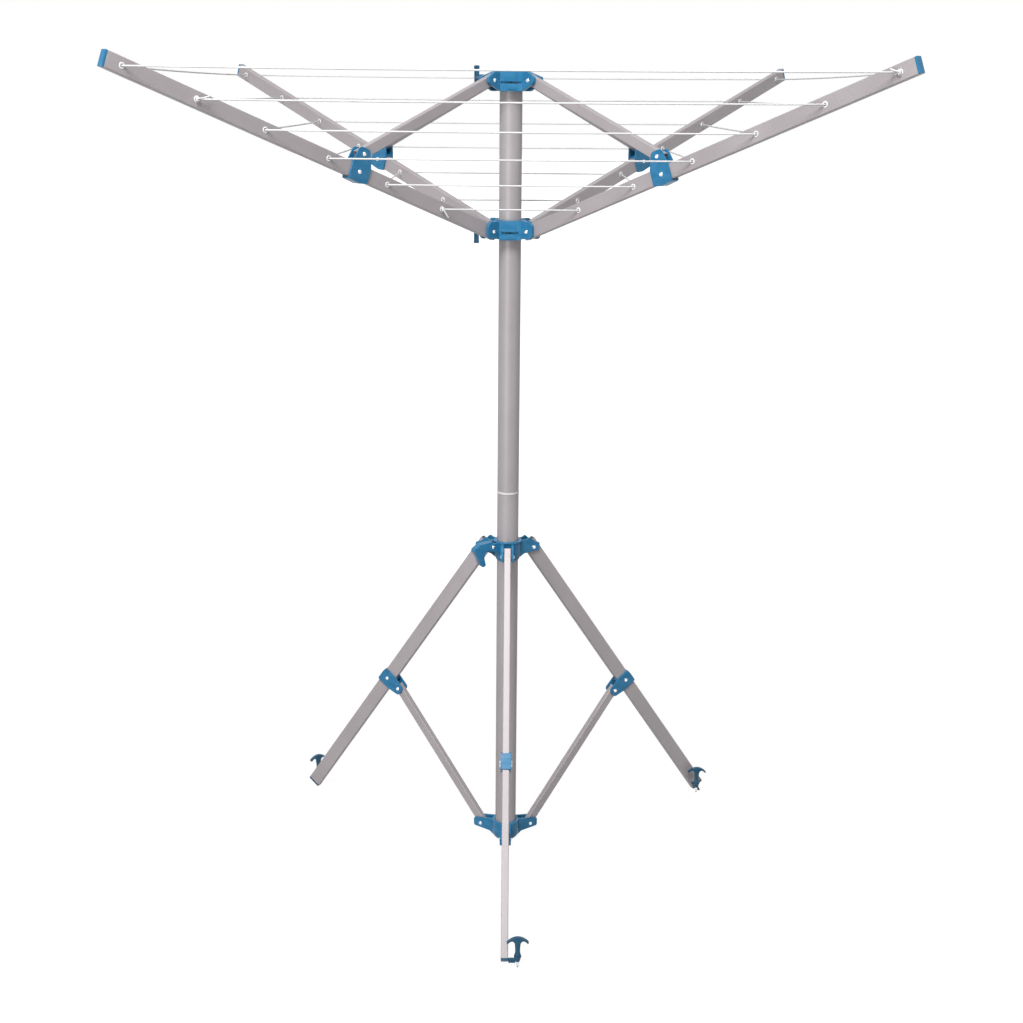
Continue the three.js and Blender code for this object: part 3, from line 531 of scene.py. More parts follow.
def box_tube(x0, x1, width, height):
    """Drawn rectangular tube along x with open ends."""
    outer = round_rectangle(width, height, TUBE_CORNER)
    inner = round_rectangle(width - 2 * TUBE_WALL, height - 2 * TUBE_WALL, TUBE_CORNER - TUBE_WALL)
    lip = 0.25
    thin = round_rectangle(width - 2 * lip, height - 2 * lip, TUBE_CORNER - lip)
    made = Solid()
    made.loft([[(x0, p.x, p.y) for p in thin], [(x0 + lip, p.x, p.y) for p in outer],
               [(x1 - lip, p.x, p.y) for p in outer], [(x1, p.x, p.y) for p in thin],
               [(x1, p.x, p.y) for p in inner], [(x0, p.x, p.y) for p in inner]], closed=True)
    return made.outward()


def rod_across(radius, half, x):
    return turned([(0, -half), (radius, -half), (radius, half), (0, half)], 32).turn(Y_UP).move(x)


def drilled(body, *drills):
    """The body with holes cut in it."""
    whole, tools = (as_object("held", part) for part in (body, Solid(*drills)))
    cut = whole.modifiers.new("holes", "BOOLEAN")
    cut.operation = "DIFFERENCE"
    cut.solver = "EXACT"
    cut.object = tools
    made = Solid()
    made.mesh.from_mesh(result_of(whole))
    bpy.data.objects.remove(tools)
    return made.turn(Matrix.Scale(1 / MM, 4))


UV_STEP = 45  # keeps a tube's narrow sides clear of its wide ones on the map


def map_tube(body):
    """UV in metres: along x, and round the section."""
    body.mesh.normal_update()
    run = body.mesh.loops.layers.uv["run"]
    for face in body.mesh.faces:
        wide = abs(face.normal.y) > abs(face.normal.z)
        offset = 0.1 if (face.normal.y if wide else face.normal.z) > 0 else 0.3
        for loop in face.loops:
            x, y, z = loop.vert.co
            loop[run].uv = (x * MM, (z if wide else y + UV_STEP) * MM + offset)
    return body


def map_mast(body):
    """UV in metres: up z, and round the mast."""
    run = body.mesh.loops.layers.uv["run"]
    for face in body.mesh.faces:
        middle = face.calc_center_median()
        centre = atan2(middle.y, middle.x)
        for loop in face.loops:
            x, y, z = loop.vert.co
            angle = atan2(y, x)
            angle += 2 * pi * round((centre - angle) / (2 * pi))
            loop[run].uv = (z * MM, angle * MAST_RADIUS * MM)
    return body


# ---- Pieces ----
def placed(name, data):
    """A new object in the scene."""
    made = bpy.data.objects.new(name, data)
    bpy.context.scene.collection.objects.link(made)
    return made


def result_of(made):
    """The plain mesh that an object's modifiers make of it; the object goes."""
    seen = made.evaluated_get(bpy.context.evaluated_depsgraph_get())
    mesh = bpy.data.meshes.new_from_object(seen)
    bpy.data.objects.remove(made)
    return mesh


def as_object(name, body):
    """An object in metres, its place in its mesh, shaded smooth except over real edges."""
    body.mesh.transform(Matrix.Scale(MM, 4))
    mesh = bpy.data.meshes.new(name)
    body.mesh.to_mesh(mesh)
    body.mesh.free()
    mesh.shade_smooth()
    mesh.set_sharp_from_angle(angle=radians(35))
    return placed(name, mesh)


def dress(made, body, nodes):
    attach(made, body)
    if nodes:
        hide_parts(*nodes)
    return made


def piece(name, body, finish, rides_on, slot, *nodes):
    """A finished piece that rides on a body and stands for its working parts."""
    made = as_object(name, body)
    made.data.materials.append(finish)
    even = made.modifiers.new("even_shading", "WEIGHTED_NORMAL")
    even.keep_sharp = True
    dress(made, rides_on, nodes)


# ---- What repeats or follows a path ----
class Growth(Recipe):
    """A Geometry Nodes tree with named inputs, run on a start mesh in metres."""

    def __init__(self, name, **sizes):
        super().__init__(bpy.data.node_groups.new(name, "GeometryNodeTree"))
        self.tree.is_modifier = True
        face = self.tree.interface
        for way in ("INPUT", "OUTPUT"):
            face.new_socket("Geometry", in_out=way, socket_type="NodeSocketGeometry")
        face.new_socket("Material", in_out="INPUT", socket_type="NodeSocketMaterial")
        for size, value in sizes.items():
            kind = "NodeSocketInt" if isinstance(value, int) else "NodeSocketFloat"
            face.new_socket(size, in_out="INPUT", socket_type=kind).default_value = value

    def given(self, name):
        return self.node("NodeGroupInput", output=name)

    def vector(self, x=0, y=0, z=0):
        return self.node("ShaderNodeCombineXYZ", {"X": x, "Y": y, "Z": z})

    def moved(self, shape, place=(0, 0, 0), turn=(0, 0, 0), scale=(1, 1, 1)):
        sockets = {"Geometry": shape, "Translation": place, "Rotation": turn, "Scale": scale}
        return self.node("GeometryNodeTransform", sockets)

    def mark(self, name):
        return self.node("GeometryNodeInputNamedAttribute", {"Name": name}, data_type="FLOAT")

    def marked(self, shape, name, value, kind="FLOAT", domain="POINT"):
        """Keeps a value on a shape under a name."""
        sockets = {"Geometry": shape, "Name": name, "Value": value}
        return self.node("GeometryNodeStoreNamedAttribute", sockets, data_type=kind, domain=domain)

    def circle(self, resolution, radius):
        sockets = {"Resolution": resolution, "Radius": radius}
        return self.node("GeometryNodeCurvePrimitiveCircle", sockets)

    def cylinder(self, sides, radius, depth):
        sockets = {"Vertices": sides, "Radius": radius, "Depth": depth}
        return self.node("GeometryNodeMeshCylinder", sockets)

    def hoop(self, radius, half_width, half_height):
        """A ring in x and y with an oval section."""
        path = self.circle(40, radius)
        section = self.moved(self.circle(14, 1.0), scale=self.vector(half_width, half_height, 1.0))
        return self.node("GeometryNodeCurveToMesh", {"Curve": path, "Profile Curve": section})

    def end(self, shape):
        smooth = self.node("GeometryNodeSetShadeSmooth", {0: shape})
        whole = self.node("GeometryNodeRealizeInstances", {0: smooth})
        sockets = {"Geometry": whole, "Material": self.given("Material")}
        dressed = self.node("GeometryNodeSetMaterial", sockets)
        self.node("NodeGroupOutput", {"Geometry": dressed})

    def grow(self, name, start, finish, **sizes):
        """Runs the tree on a start mesh and gives the plain mesh that it makes."""
        holder = placed(name, start)
        modifier = holder.modifiers.new(name, "NODES")
        modifier.node_group = self.tree
        inputs = (s for s in self.tree.interface.items_tree if s.in_out == "INPUT")
        identifiers = {s.name: s.identifier for s in inputs}
        for key, value in {"Material": finish, **sizes}.items():
            modifier[identifiers[key]] = value
        return result_of(holder)


def eyelet_row():
    """Rolled eyelets along both faces of an arm, in its frame."""
    g = Growth("eyelet_row", First=FIRST_HOLE * MM, Pitch=HOLE_PITCH * MM, Count=ROWS,
               Face=ARM_WIDTH / 2 * MM, Middle=0.0041, Width=0.00155, Height=0.0009)
    hoop = g.hoop(g.given("Middle"), g.given("Width"), g.given("Height"))
    rolled = g.moved(hoop, turn=(pi / 2, 0, 0))
    rows = []
    for side in (-1, 1):
        sockets = {"Count": g.given("Count"), "Offset": g.vector(g.given("Pitch")),
                   "Start Location": g.vector(g.given("First"), g.given("Face") * side)}
        row = g.node("GeometryNodeMeshLine", sockets, mode="OFFSET")
        rows.append(g.node("GeometryNodeInstanceOnPoints", {"Points": row, "Instance": rolled}))
    g.end(g.node("GeometryNodeJoinGeometry", {0: rows}))
    return g


def rivet_row():
    """Pivot rivets, domed at one end and rolled over at the other. Each point of the start mesh
    carries the azimuth of its arm or leg."""
    g = Growth("rivets", Shank=PIN_RADIUS * MM, Head=PIN_HEAD * MM, Rise=0.0013, Span=0.0266)
    span, head = g.given("Span"), g.given("Head")
    shank = g.cylinder(32, g.given("Shank"), span)
    flange = g.cylinder(48, head, span + 0.0009)
    dome = g.node("GeometryNodeMeshUVSphere", {"Segments": 40, "Rings": 20, "Radius": 1.0})
    cap = head * 0.9
    dome = g.moved(dome, g.vector(z=span * 0.5 + 0.0004), scale=g.vector(cap, cap, g.given("Rise")))
    rolled = g.moved(g.hoop(head * 0.62, 0.0011, 0.0009), g.vector(z=span * -0.5 - 0.0005))
    rivet = g.node("GeometryNodeJoinGeometry", {0: [shank, flange, dome, rolled]})
    turn = g.vector(-pi / 2, 0.0, g.mark("azimuth"))
    g.end(g.node("GeometryNodeInstanceOnPoints", {
        "Points": g.given("Geometry"), "Instance": rivet, "Rotation": turn}))
    return g


def line_run():
    """Plastic-covered line along a path, with a UV map along and round it."""
    g = Growth("line_run", Radius=LINE_RADIUS * MM, Sides=14)
    path = g.node("GeometryNodeMeshToCurve", {"Mesh": g.given("Geometry")})
    ring = g.circle(g.given("Sides"), g.given("Radius"))
    path = g.marked(path, "along", g.node("GeometryNodeSplineParameter", output="Length"))
    ring = g.marked(ring, "around", g.node("GeometryNodeSplineParameter", output="Factor"))
    sockets = {"Curve": path, "Profile Curve": ring, "Fill Caps": True}
    tube = g.node("GeometryNodeCurveToMesh", sockets)
    around_and_along = g.vector(g.mark("along"), g.mark("around"))
    g.end(g.marked(tube, "run", around_and_along, "FLOAT2", "CORNER"))
    return g


def start_points(points, azimuths=None, joined=False):
    """A start mesh, in metres, from points in millimetres."""
    mesh = bpy.data.meshes.new("start")
    edges = [(i, i + 1) for i in range(len(points) - 1)] if joined else []
    mesh.from_pydata([Vector(p) * MM for p in points], edges, [])
    if azimuths is not None:
        turns = mesh.attributes.new("azimuth", "FLOAT", "POINT")
        turns.data.foreach_set("value", [radians(a) for a in azimuths])
    return mesh


def grown(name, mesh, rides_on, slot, *nodes):
    return dress(placed(name, mesh), rides_on, nodes)


eyelets = eyelet_row()
rivets = rivet_row()
line = line_run()


def riveted(name, places, span, rides_on, *nodes):
    """Rivets at (azimuth, point) places, spanning a clevis."""
    start = start_points([p for _, p in places], [a for a, _ in places])
    grown(name, rivets.grow(name, start, steel, Span=span * MM), rides_on, "steel", *nodes)


def pivots(azimuths, height):
    """Rivet places on the pivot circle."""
    return [(a, plane_at(a) @ Vector((PIVOT_RADIUS, 0, height))) for a in azimuths]


# ---- Mast ----
def make_mast():
    bore = MAST_RADIUS - MAST_WALL
    low, high = SEAM_Z - BUSH_FLANGE / 2, SEAM_Z + BUSH_FLANGE / 2
    lower = map_mast(collar(bore, MAST_RADIUS, CUP_FLOOR + FIT, low - FIT, 0.3))
    piece("mast_tube_lower", lower, mast_finish, "lower_mast", "tube", "lower_mast")
    crown = TOP_HUB_Z + HUB_HALF - CROWN_WALL
    upper = map_mast(collar(bore, MAST_RADIUS, high + FIT, crown - FIT, 0.3))
    piece("mast_tube_upper", upper, mast_finish, "upper_mast", "tube", "upper_mast")
    inside, outside, flange = SPIGOT_RADIUS + FIT, bore - FIT, MAST_RADIUS + 0.3
    bush = turned([(inside, low - BUSH_DEPTH), (outside, low - BUSH_DEPTH), (outside, low),
                   (flange - 0.6, low), (flange, low + 0.5), (flange, high - 0.5),
                   (flange - 0.6, high), (inside, high)], 96)
    piece("seam_bush", bush, bush_grey, "lower_mast", "bush", "mast_bush")
    foot, step, top = SEAM_Z - SPIGOT_DEPTH, high + FIT, high + FIT + SPIGOT_DEPTH
    inside = SPIGOT_RADIUS - 2
    spigot = turned([(inside, foot), (SPIGOT_RADIUS - 0.6, foot), (SPIGOT_RADIUS, foot + 1.5),
                     (SPIGOT_RADIUS, step), (outside, step), (outside, top), (inside, top)], 96)
    piece("turning_spigot", map_mast(spigot), mast_finish, "upper_mast", "spigot", "mast_spigot")


# ---- Head hubs ----
# The webs at the front and back are deep and those at the sides shallow, like the cheeks by them.
EAR_ROOT = COLLAR_RADIUS - 5
TOP_HUB = {
    "bottom": -20, "rise": 3.3, "groove": (21, -6, -2),
    "deep": (20, [[EAR_ROOT, -20], [44, -20, 4], [74, -5, 5],
                  [74, 6, 5], [51, 20, 5], [EAR_ROOT, 20]]),
    "shallow": (14, [[EAR_ROOT, -20], [44, -20, 4], [74, -5, 5],
                     [74, 6.5, 3], [30, 20], [EAR_ROOT, 20]]),
}
LOWER_HUB = {
    "bottom": -17.5, "rise": -2, "groove": (17, -5.4, -1),
    "deep": (20, [[EAR_ROOT, -14.5], [68, -14.5, 7], [74, -8, 4],
                  [74, 12, 7], [64, 20, 7], [EAR_ROOT, 20]]),
    "shallow": (12, [[EAR_ROOT, -14.5], [68, -14.5, 7], [74, -6, 5],
                     [74, 5, 5], [30, 20], [EAR_ROOT, 20]]),
}
WEBS = {-90: "deep", 0: "shallow", 90: "deep", 180: "shallow"}


def to_side(side, near, far):
    """The range from near to far on a side, 1 or -1."""
    return sorted((side * near, side * far))


def cheek(ear, side, inner, outer, soft=0.9):
    """One cheek of a clevis that runs along x."""
    return plate(outline(ear), *to_side(side, inner, outer), soft)


def web(bottom, top, groove):
    """Wall between two clevises: grooved, with raised panels, and a rib and a floor behind it."""
    back = web_face - WEB_WALL
    half, low, high = groove
    ends = [block(back, web_face, *to_side(side, half, WEB_HALF), low - 1, high + 1)
            for side in (-1, 1)]
    return Solid(
        block(back, web_face, -WEB_HALF, WEB_HALF, high, top, 0.5),
        block(back, web_face, -WEB_HALF, WEB_HALF, bottom, low, 0.5),
        block(back, web_face - GROOVE_DEPTH, -WEB_HALF, WEB_HALF, low - 1, high + 1),
        block(back, web_face + PANEL_RISE, -PANEL_HALF, PANEL_HALF, high, top - 3, 0.5),
        block(back, web_face + PANEL_RISE, -PANEL_HALF, PANEL_HALF, bottom + 3, low, 0.5),
        block(EAR_ROOT, back + 1, -1.5, 1.5, bottom + 3, top - 1, 0.3),
        block(EAR_ROOT, back + 1, -WEB_HALF + 7, WEB_HALF - 7, top - 3.5, top, 0.4),
        *ends)


def knob_boss():
    """Threaded boss of a locking screw, along x."""
    return turned([(4.3, 27), (9, 27), (9, boss_face - 0.8), (8.2, boss_face), (4.9, boss_face),
                   (4.3, boss_face - 0.6)], 48).turn(X_UP)


def head_hub(hub, member, bore):
    inner = member / 2 + SLOT_GAP
    parts = [bore, knob_boss().turn(plane_at(KNOB_AZIMUTH, hub["rise"]))]
    for azimuth, kind in WEBS.items():
        top, ear = hub[kind]
        parts.append(web(hub["bottom"], top, hub["groove"]).turn(plane_at(azimuth)))
        parts += [cheek(ear, side, inner, head_half).turn(plane_at(azimuth - side * 45))
                  for side in (-1, 1)]
    return Solid(*parts)


def locking_knob():
    """Locking screw with a two-winged handle whose faces are channelled."""
    start = boss_face + 16
    middle = start + 5.5
    flared = [[-5, -18], [-5.8, -25, 3], [5.8, -25, 3], [5, -18],
              [5, 18], [5.8, 25, 3], [-5.8, 25, 3], [-5, 18]]
    channel = [[-2.4, -16], [-2.8, -22, 1.5], [2.8, -22, 1.5], [2.4, -16],
               [2.4, 16], [2.8, 22, 1.5], [-2.8, 22, 1.5], [-2.4, 16]]
    rim = frame_plate(outline(flared), outline(channel), -3.5, 3.5, 0.7).move(middle)
    floor = block(middle - 3.4, middle + 3.4, -2, 2, -22.6, 22.6)
    hand = boss_face + 6
    grip = turned([(0, hand), (7.2, hand), (8, hand + 0.8), (8, start - 1), (6.5, start + 4),
                   (5.6, start + 8), (4.6, start + 9), (0, start + 9.2)], 48).turn(X_UP)
    screw = turned(screw_thread(MAST_RADIUS + FIT, hand + 1), 32).turn(X_UP)
    return Solid(rim, floor, grip), screw


def screw_thread(start, end, pitch=1.5):
    """Profile of a machine screw with its flat point at the start."""
    profile = [(0, start), (3, start), (3.9, start + 1)]
    at = start + 1.2
    while at + pitch < end:
        profile += [(3.95, at), (3.3, at + pitch / 2)]
        at += pitch
    return profile + [(3.9, end), (0, end)]


def make_head_hubs():
    top_bore = turned([(0, 20), (27.6, 20), (29, 18.6), (29, -19.2), (28.2, -20), (23.3, -20),
                       (22.8, -19.5), (22.8, 16), (0, 16)], 96)
    slide_bore = collar(MAST_RADIUS + SLIDE, COLLAR_RADIUS, LOWER_HUB["bottom"], HUB_HALF)
    for name, rides_on, height, hub, member, bore in (
            ("top_hub", "upper_mast", TOP_HUB_Z, TOP_HUB, STRUT_WIDTH, top_bore),
            ("lower_hub", "lower_hub", LOWER_HUB_Z, LOWER_HUB, ARM_WIDTH, slide_bore)):
        body = head_hub(hub, member, bore).move(z=height)
        piece(f"moulded_{name}", body, blue, rides_on, "blue_plastic", name)
        place = plane_at(KNOB_AZIMUTH, height + hub["rise"])
        handle, screw = (part.turn(place) for part in locking_knob())
        knob = f"{name}_knob"
        piece(f"{knob}_handle", handle, dark_blue, knob, "dark_plastic", knob)
        piece(f"{knob}_screw", screw, steel, knob, "steel")
        pins = [f"arm_pin_{n}" for n in ARMS] if name == "lower_hub" else []
        riveted(f"{name}_rivets", pivots(ARMS.values(), height), 2 * head_half, rides_on, *pins)


# ---- Arms and struts ----
def saddle(width, height, inward, outward, belly, rise, ear):
    """Moulded saddle riveted round a tube along x, with two ears for another member's rivet."""
    gap, low, high = width / 2 + FIT, -height / 2 - FIT, height / 2 + FIT
    shape = [[-inward, low - 1, 2], [-inward / 3, low - 3 - belly, inward / 3],
             [outward, low - 3 - belly / 2, 4], [outward, high, 5],
             [ear + 1, rise + ear, ear * 0.85], [-ear, rise + ear, ear * 0.85], [-inward, high, 5]]
    belly_web = [[-inward + 2, low - 1.3], [-inward / 3, low - 3 - belly, inward / 4],
                 [outward - 1, low - 3 - belly / 2], [outward - 1, low], [-inward + 2, low]]
    parts = [plate(outline(belly_web), -gap - 1, gap + 1, 0.4),
             block(-inward + 2, outward - 2, -gap - 1, gap + 1, high, high + 3, 0.5)]
    for side in (-1, 1):
        parts.append(cheek(shape, side, gap, gap + BRACKET_WALL, 0.8))
        for z in (0, rise):
            seat = turned([(0, 0), (5.8, 0), (5.8, BRACKET_WALL), (5.4, BRACKET_WALL + 0.3),
                           (0, BRACKET_WALL + 0.3)], 48)
            seat.turn(Matrix.Rotation(radians(-90 * side), 4, "X"))
            parts.append(seat.move(0, side * gap, z))
    return Solid(*parts)


def saddle_piece(kind, name, azimuth, body, frame_at, along, rise, width, pin):
    """A saddle and its two rivets, through its tube and the next member."""
    member = f"{kind}_{name}"
    piece(f"{kind}_saddle_{name}", body, blue, member, "blue_plastic", f"{kind}_bracket_{name}")
    places = [(azimuth, frame_at @ Vector((along, 0, z))) for z in (0, rise)]
    riveted(f"{kind}_saddle_rivets_{name}", places, width + bracket_span, member, pin)


def rivet_holes(width, *places):
    return [rod_across(PIN_RADIUS + HOLE_PLAY, width, x) for x in places]


def tube_piece(kind, name, start, end, width, height, holes, frame_at):
    tube = map_tube(drilled(box_tube(start, end, width, height), *holes)).turn(frame_at)
    member = f"{kind}_{name}"
    piece(f"{kind}_tube_{name}", tube, tube_finish, member, "tube", member)


def link_piece(kind, name, azimuth, pin, run, width, height):
    """A strut or stay that runs from one pivot to another in its member's plane."""
    past = height / 2 - 1
    frame_at = member_at(azimuth, pin.x, pin.y, atan2(run.y, run.x))
    tube_piece(kind, name, -past, run.length + past, width, height,
               rivet_holes(width, 0, run.length), frame_at)


def end_plug(length, width, height):
    """Moulded plug in a tube's end: a rim, a raised face and a tongue inside the tube."""
    start = length - PLUG_RIM
    fit_width, fit_height = width - 2 * (TUBE_WALL + FIT), height - 2 * (TUBE_WALL + FIT)
    return Solid(
        bar(round_rectangle(width, height, TUBE_CORNER), start, length - 0.3, 0.5),
        bar(round_rectangle(width - 4, height - 4, 1.6), length - 1, length, 0.25),
        bar(round_rectangle(fit_width, fit_height, 1), start - 12, start + 1, 0.3))


def make_arm(name):
    azimuth, frame_at = ARMS[name], arm_at(name)
    holes = [rod_across(LINE_HOLE, ARM_WIDTH, hole_at(row)) for row in range(ROWS)]
    holes += rivet_holes(ARM_WIDTH, 0, ARM_BRACKET_AT)
    tube_piece("arm", name, -ARM_HEIGHT / 2 + 1, ARM_LENGTH - PLUG_RIM - FIT,
               ARM_WIDTH, ARM_HEIGHT, holes, frame_at)
    plug = end_plug(ARM_LENGTH, ARM_WIDTH, ARM_HEIGHT).turn(frame_at)
    piece(f"arm_end_{name}", plug, blue, f"arm_{name}", "blue_plastic", f"arm_cap_{name}")
    body = saddle(ARM_WIDTH, ARM_HEIGHT, 24, 20, 2, STRUT_PIN_RISE, 11.5)
    body.move(ARM_BRACKET_AT).turn(frame_at)
    saddle_piece("arm", name, azimuth, body, frame_at,
                 ARM_BRACKET_AT, STRUT_PIN_RISE, ARM_WIDTH, f"strut_pin_{name}")
    rings = eyelets.grow("eyelets", bpy.data.meshes.new("start"), eyelet_white)
    rings.transform(Matrix.Scale(MM, 4) @ frame_at @ Matrix.Scale(1 / MM, 4))
    grown(f"line_eyelets_{name}", rings, f"arm_{name}", "line")
    link_piece("strut", name, azimuth, strut_pin, strut_run, STRUT_WIDTH, STRUT_HEIGHT)


# ---- Tripod ----
TRIPOD_EAR = [[EAR_ROOT, -17], [34, -11, 6], [72, -7.5, 4], [72, 9, 4],
              [60, 12, 4], [49, 23, 4], [41, 19, 3], [EAR_ROOT, 19]]
BASE_EAR = [[EAR_ROOT, -19], [34, -12, 8], [75, -8, 5], [75, 10.5, 5], [EAR_ROOT, 19]]
LEVER_PIVOT = (41, 13)
LEVER_WIDTH = 16


def clevises(body, ear, member):
    """Adds a clevis for each leg."""
    inner = member / 2 + SLOT_GAP
    for azimuth in LEGS.values():
        for side in (-1, 1):
            body.add(cheek(ear, side, inner, inner + BASE_CHEEK).turn(plane_at(azimuth)))
    return 2 * (inner + BASE_CHEEK)


def make_tripod_hub():
    body = turned([(22.9, -19.4), (23.5, -20), (24.1, -20), (24.6, -19.4), (26.6, -14.8),
                   (27.7, -9.5), (28, -7), (28, 18), (29.2, 18.4), (30, 19.2), (30, 21.2),
                   (29.2, 22), (23.6, 22), (22.9, 21.4)], 96)
    span = clevises(body, TRIPOD_EAR, LEG_WIDTH)
    lug = [[EAR_ROOT, 0], [49, 6, 4], [49, 20, 6], [EAR_ROOT, 22]]
    inner = LEVER_WIDTH / 2 + SLOT_GAP
    for side in (-1, 1):
        body.add(cheek(lug, side, inner, inner + 4, 0.7).turn(plane_at(LEVER_AZIMUTH)))
    body.move(z=TRIPOD_HUB_Z)
    piece("moulded_tripod_hub", body, blue, "tripod_hub", "blue_plastic", "tripod_hub")
    riveted("tripod_hub_rivets", pivots(LEGS.values(), TRIPOD_HUB_Z), span, "tripod_hub")
    lever_at = member_at(LEVER_AZIMUTH, LEVER_PIVOT[0], TRIPOD_HUB_Z + LEVER_PIVOT[1], 0)
    places = [(LEVER_AZIMUTH, lever_at.translation)]
    riveted("lock_lever_rivet", places, 2 * (inner + 4), "tripod_hub", "lock_lever_pin")
    shape = outline([[-8, 6, 4], [-6, -8, 4], [14, -8, 7], [19, -22, 7], [15, -39, 3], [22, -43, 4],
                     [29, -34, 5], [36, -18, 8], [46, -3, 8], [29, 8, 12], [0, 10.5, 5]])
    lever = plate(shape, -LEVER_WIDTH / 2, LEVER_WIDTH / 2, 1.4)
    piece("cam_lever", lever.turn(lever_at), blue, "lock_lever", "blue_plastic", "lock_lever")


def make_base_hub():
    low = -BASE_HUB_Z
    body = turned([(0, low), (15.2, low), (16.6, low + 0.5), (22, low + 3.2), (26.2, low + 7.4),
                   (28, low + 10.5), (28.9, low + 14), (29, low + 17), (29, 20.2), (28.2, 21),
                   (23.4, 21), (22.8, 20.4), (22.8, low + CUP_FLOOR), (0, low + CUP_FLOOR)], 96)
    span = clevises(body, BASE_EAR, STAY_WIDTH)
    body.move(z=BASE_HUB_Z)
    piece("moulded_base_hub", body, blue, "lower_mast", "blue_plastic", "base_hub")
    pins = [f"stay_lower_pin_{n}" for n in LEGS]
    riveted("base_hub_rivets", pivots(LEGS.values(), BASE_HUB_Z), span, "lower_mast", *pins)


EYE_RADIUS, EYE_LOW, EYE_HIGH = 7.2, 14.5, 25.5
WING_AT = 8  # the wing's middle, off the middle of the leg


def foot_plug(name):
    """Plug in a leg's end with a wing that carries the ground peg's funnel-shaped eye."""
    side, out, _ = PEGS[name]
    wing_at = copysign(WING_AT, out)
    wing = block(leg_length - PLUG_RIM, leg_length - 0.2, *to_side(side, 0, PEG_OFFSET - 8),
                 wing_at - 3.5, wing_at + 3.5, 0.7)
    plug = end_plug(leg_length, LEG_WIDTH, LEG_HEIGHT).add(wing).turn(leg_at(name))
    wing_x = foot_radius + wing_at * sin(LEG_TILT)
    wing_z = foot_rise + wing_at * cos(LEG_TILT)
    eye_x = foot_radius + out
    neck = [[wing_x - 3, wing_z - 2.5, 1], [wing_x + 3, wing_z - 2.5, 1],
            [eye_x + 3, EYE_LOW + 6, 2], [eye_x - 3, EYE_LOW + 6, 2]]
    arm = cheek(neck, side, LEG_WIDTH / 2 + FIT, PEG_OFFSET - 4, 0.7)
    bore = PEG_RADIUS + FIT
    eye = turned([(bore, EYE_LOW), (bore + 1, EYE_LOW), (bore + 1.8, EYE_LOW + 3),
                  (EYE_RADIUS - 0.6, EYE_HIGH - 2.5), (EYE_RADIUS, EYE_HIGH - 1),
                  (EYE_RADIUS - 0.5, EYE_HIGH), (bore, EYE_HIGH)], 48)
    eye.move(eye_x, side * PEG_OFFSET)
    return plug.add(Solid(arm, eye).turn(plane_at(LEGS[name])))


def ground_peg(name):
    """Ground peg parked in its eye: a grip with a drooping two-armed handle, and its stem."""
    side, out, twist = PEGS[name]
    half, top = PEG_HANDLE / 2, PEG_TOP
    shape = curved_outline(
        (-half + 2, top - 13), ((-half + 9, top - 4.5), (-7.5, top - 9)),
        ((-4.5, top - 12), (-4.4, top - 22)), ((0, top - 22), (4.4, top - 22)),
        ((4.5, top - 12), (7.5, top - 9)), ((half - 9, top - 4.5), (half - 2, top - 13)),
        ((half - 0.3, top - 12.5), (half, top - 10.5)), ((half / 2 + 1, top - 0.5), (0, top)),
        ((-half / 2 - 1, top - 0.5), (-half, top - 10.5)),
        ((-half + 0.3, top - 12.5), (-half + 2, top - 13)))
    seat = EYE_HIGH + FIT
    grip = turned([(0, seat), (5.8, seat), (6.6, seat + 0.7), (6.4, seat + 2), (5.2, seat + 5.5),
                   (4.7, seat + 9), (4.9, top - 22), (5.6, top - 15), (5.6, top - 9),
                   (0, top - 7)], 48)
    handle = Solid(plate(shape, -4, 4, 1.6), grip)
    stem = turned([(0, 0.5), (0.6, 1), (2.8, 6.5), (3, 7.5), (3, seat + 1), (0, seat + 1)], 32)
    place = plane_at(LEGS[name]) @ Matrix.Translation((foot_radius + out, side * PEG_OFFSET, 0))
    return handle.turn(place @ plane_at(twist)), stem.turn(place)


def make_leg(name):
    azimuth, frame_at = LEGS[name], leg_at(name)
    tube_piece("leg", name, -LEG_HEIGHT / 2 + 1, leg_length - PLUG_RIM - FIT,
               LEG_WIDTH, LEG_HEIGHT, rivet_holes(LEG_WIDTH, 0, LEG_BRACKET_AT), frame_at)
    foot = foot_plug(name)
    piece(f"leg_foot_{name}", foot, dark_blue, f"leg_{name}", "dark_plastic", f"foot_{name}")
    body = saddle(LEG_WIDTH, LEG_HEIGHT, 17, 18, 0, STAY_PIN_DROP, 10.5)
    body.turn(Matrix.Rotation(pi, 4, "X")).move(LEG_BRACKET_AT).turn(frame_at)
    saddle_piece("leg", name, azimuth, body, frame_at,
                 LEG_BRACKET_AT, -STAY_PIN_DROP, LEG_WIDTH, f"stay_upper_pin_{name}")
    link_piece("stay", name, azimuth, base_pin, stay_run, STAY_WIDTH, STAY_HEIGHT)
    handle, stem = ground_peg(name)
    piece(f"peg_handle_{name}", handle, dark_blue, f"peg_{name}", "dark_plastic", f"peg_{name}")
    piece(f"peg_stem_{name}", stem, dark_pointed_steel, f"peg_{name}", "steel")


# ---- Line ----
def line_piece(label, points, name):
    """Line along points, held by an arm."""
    mesh = line.grow(label, start_points(points, joined=True), line_white)
    return grown(label, mesh, f"arm_{name}", "line")


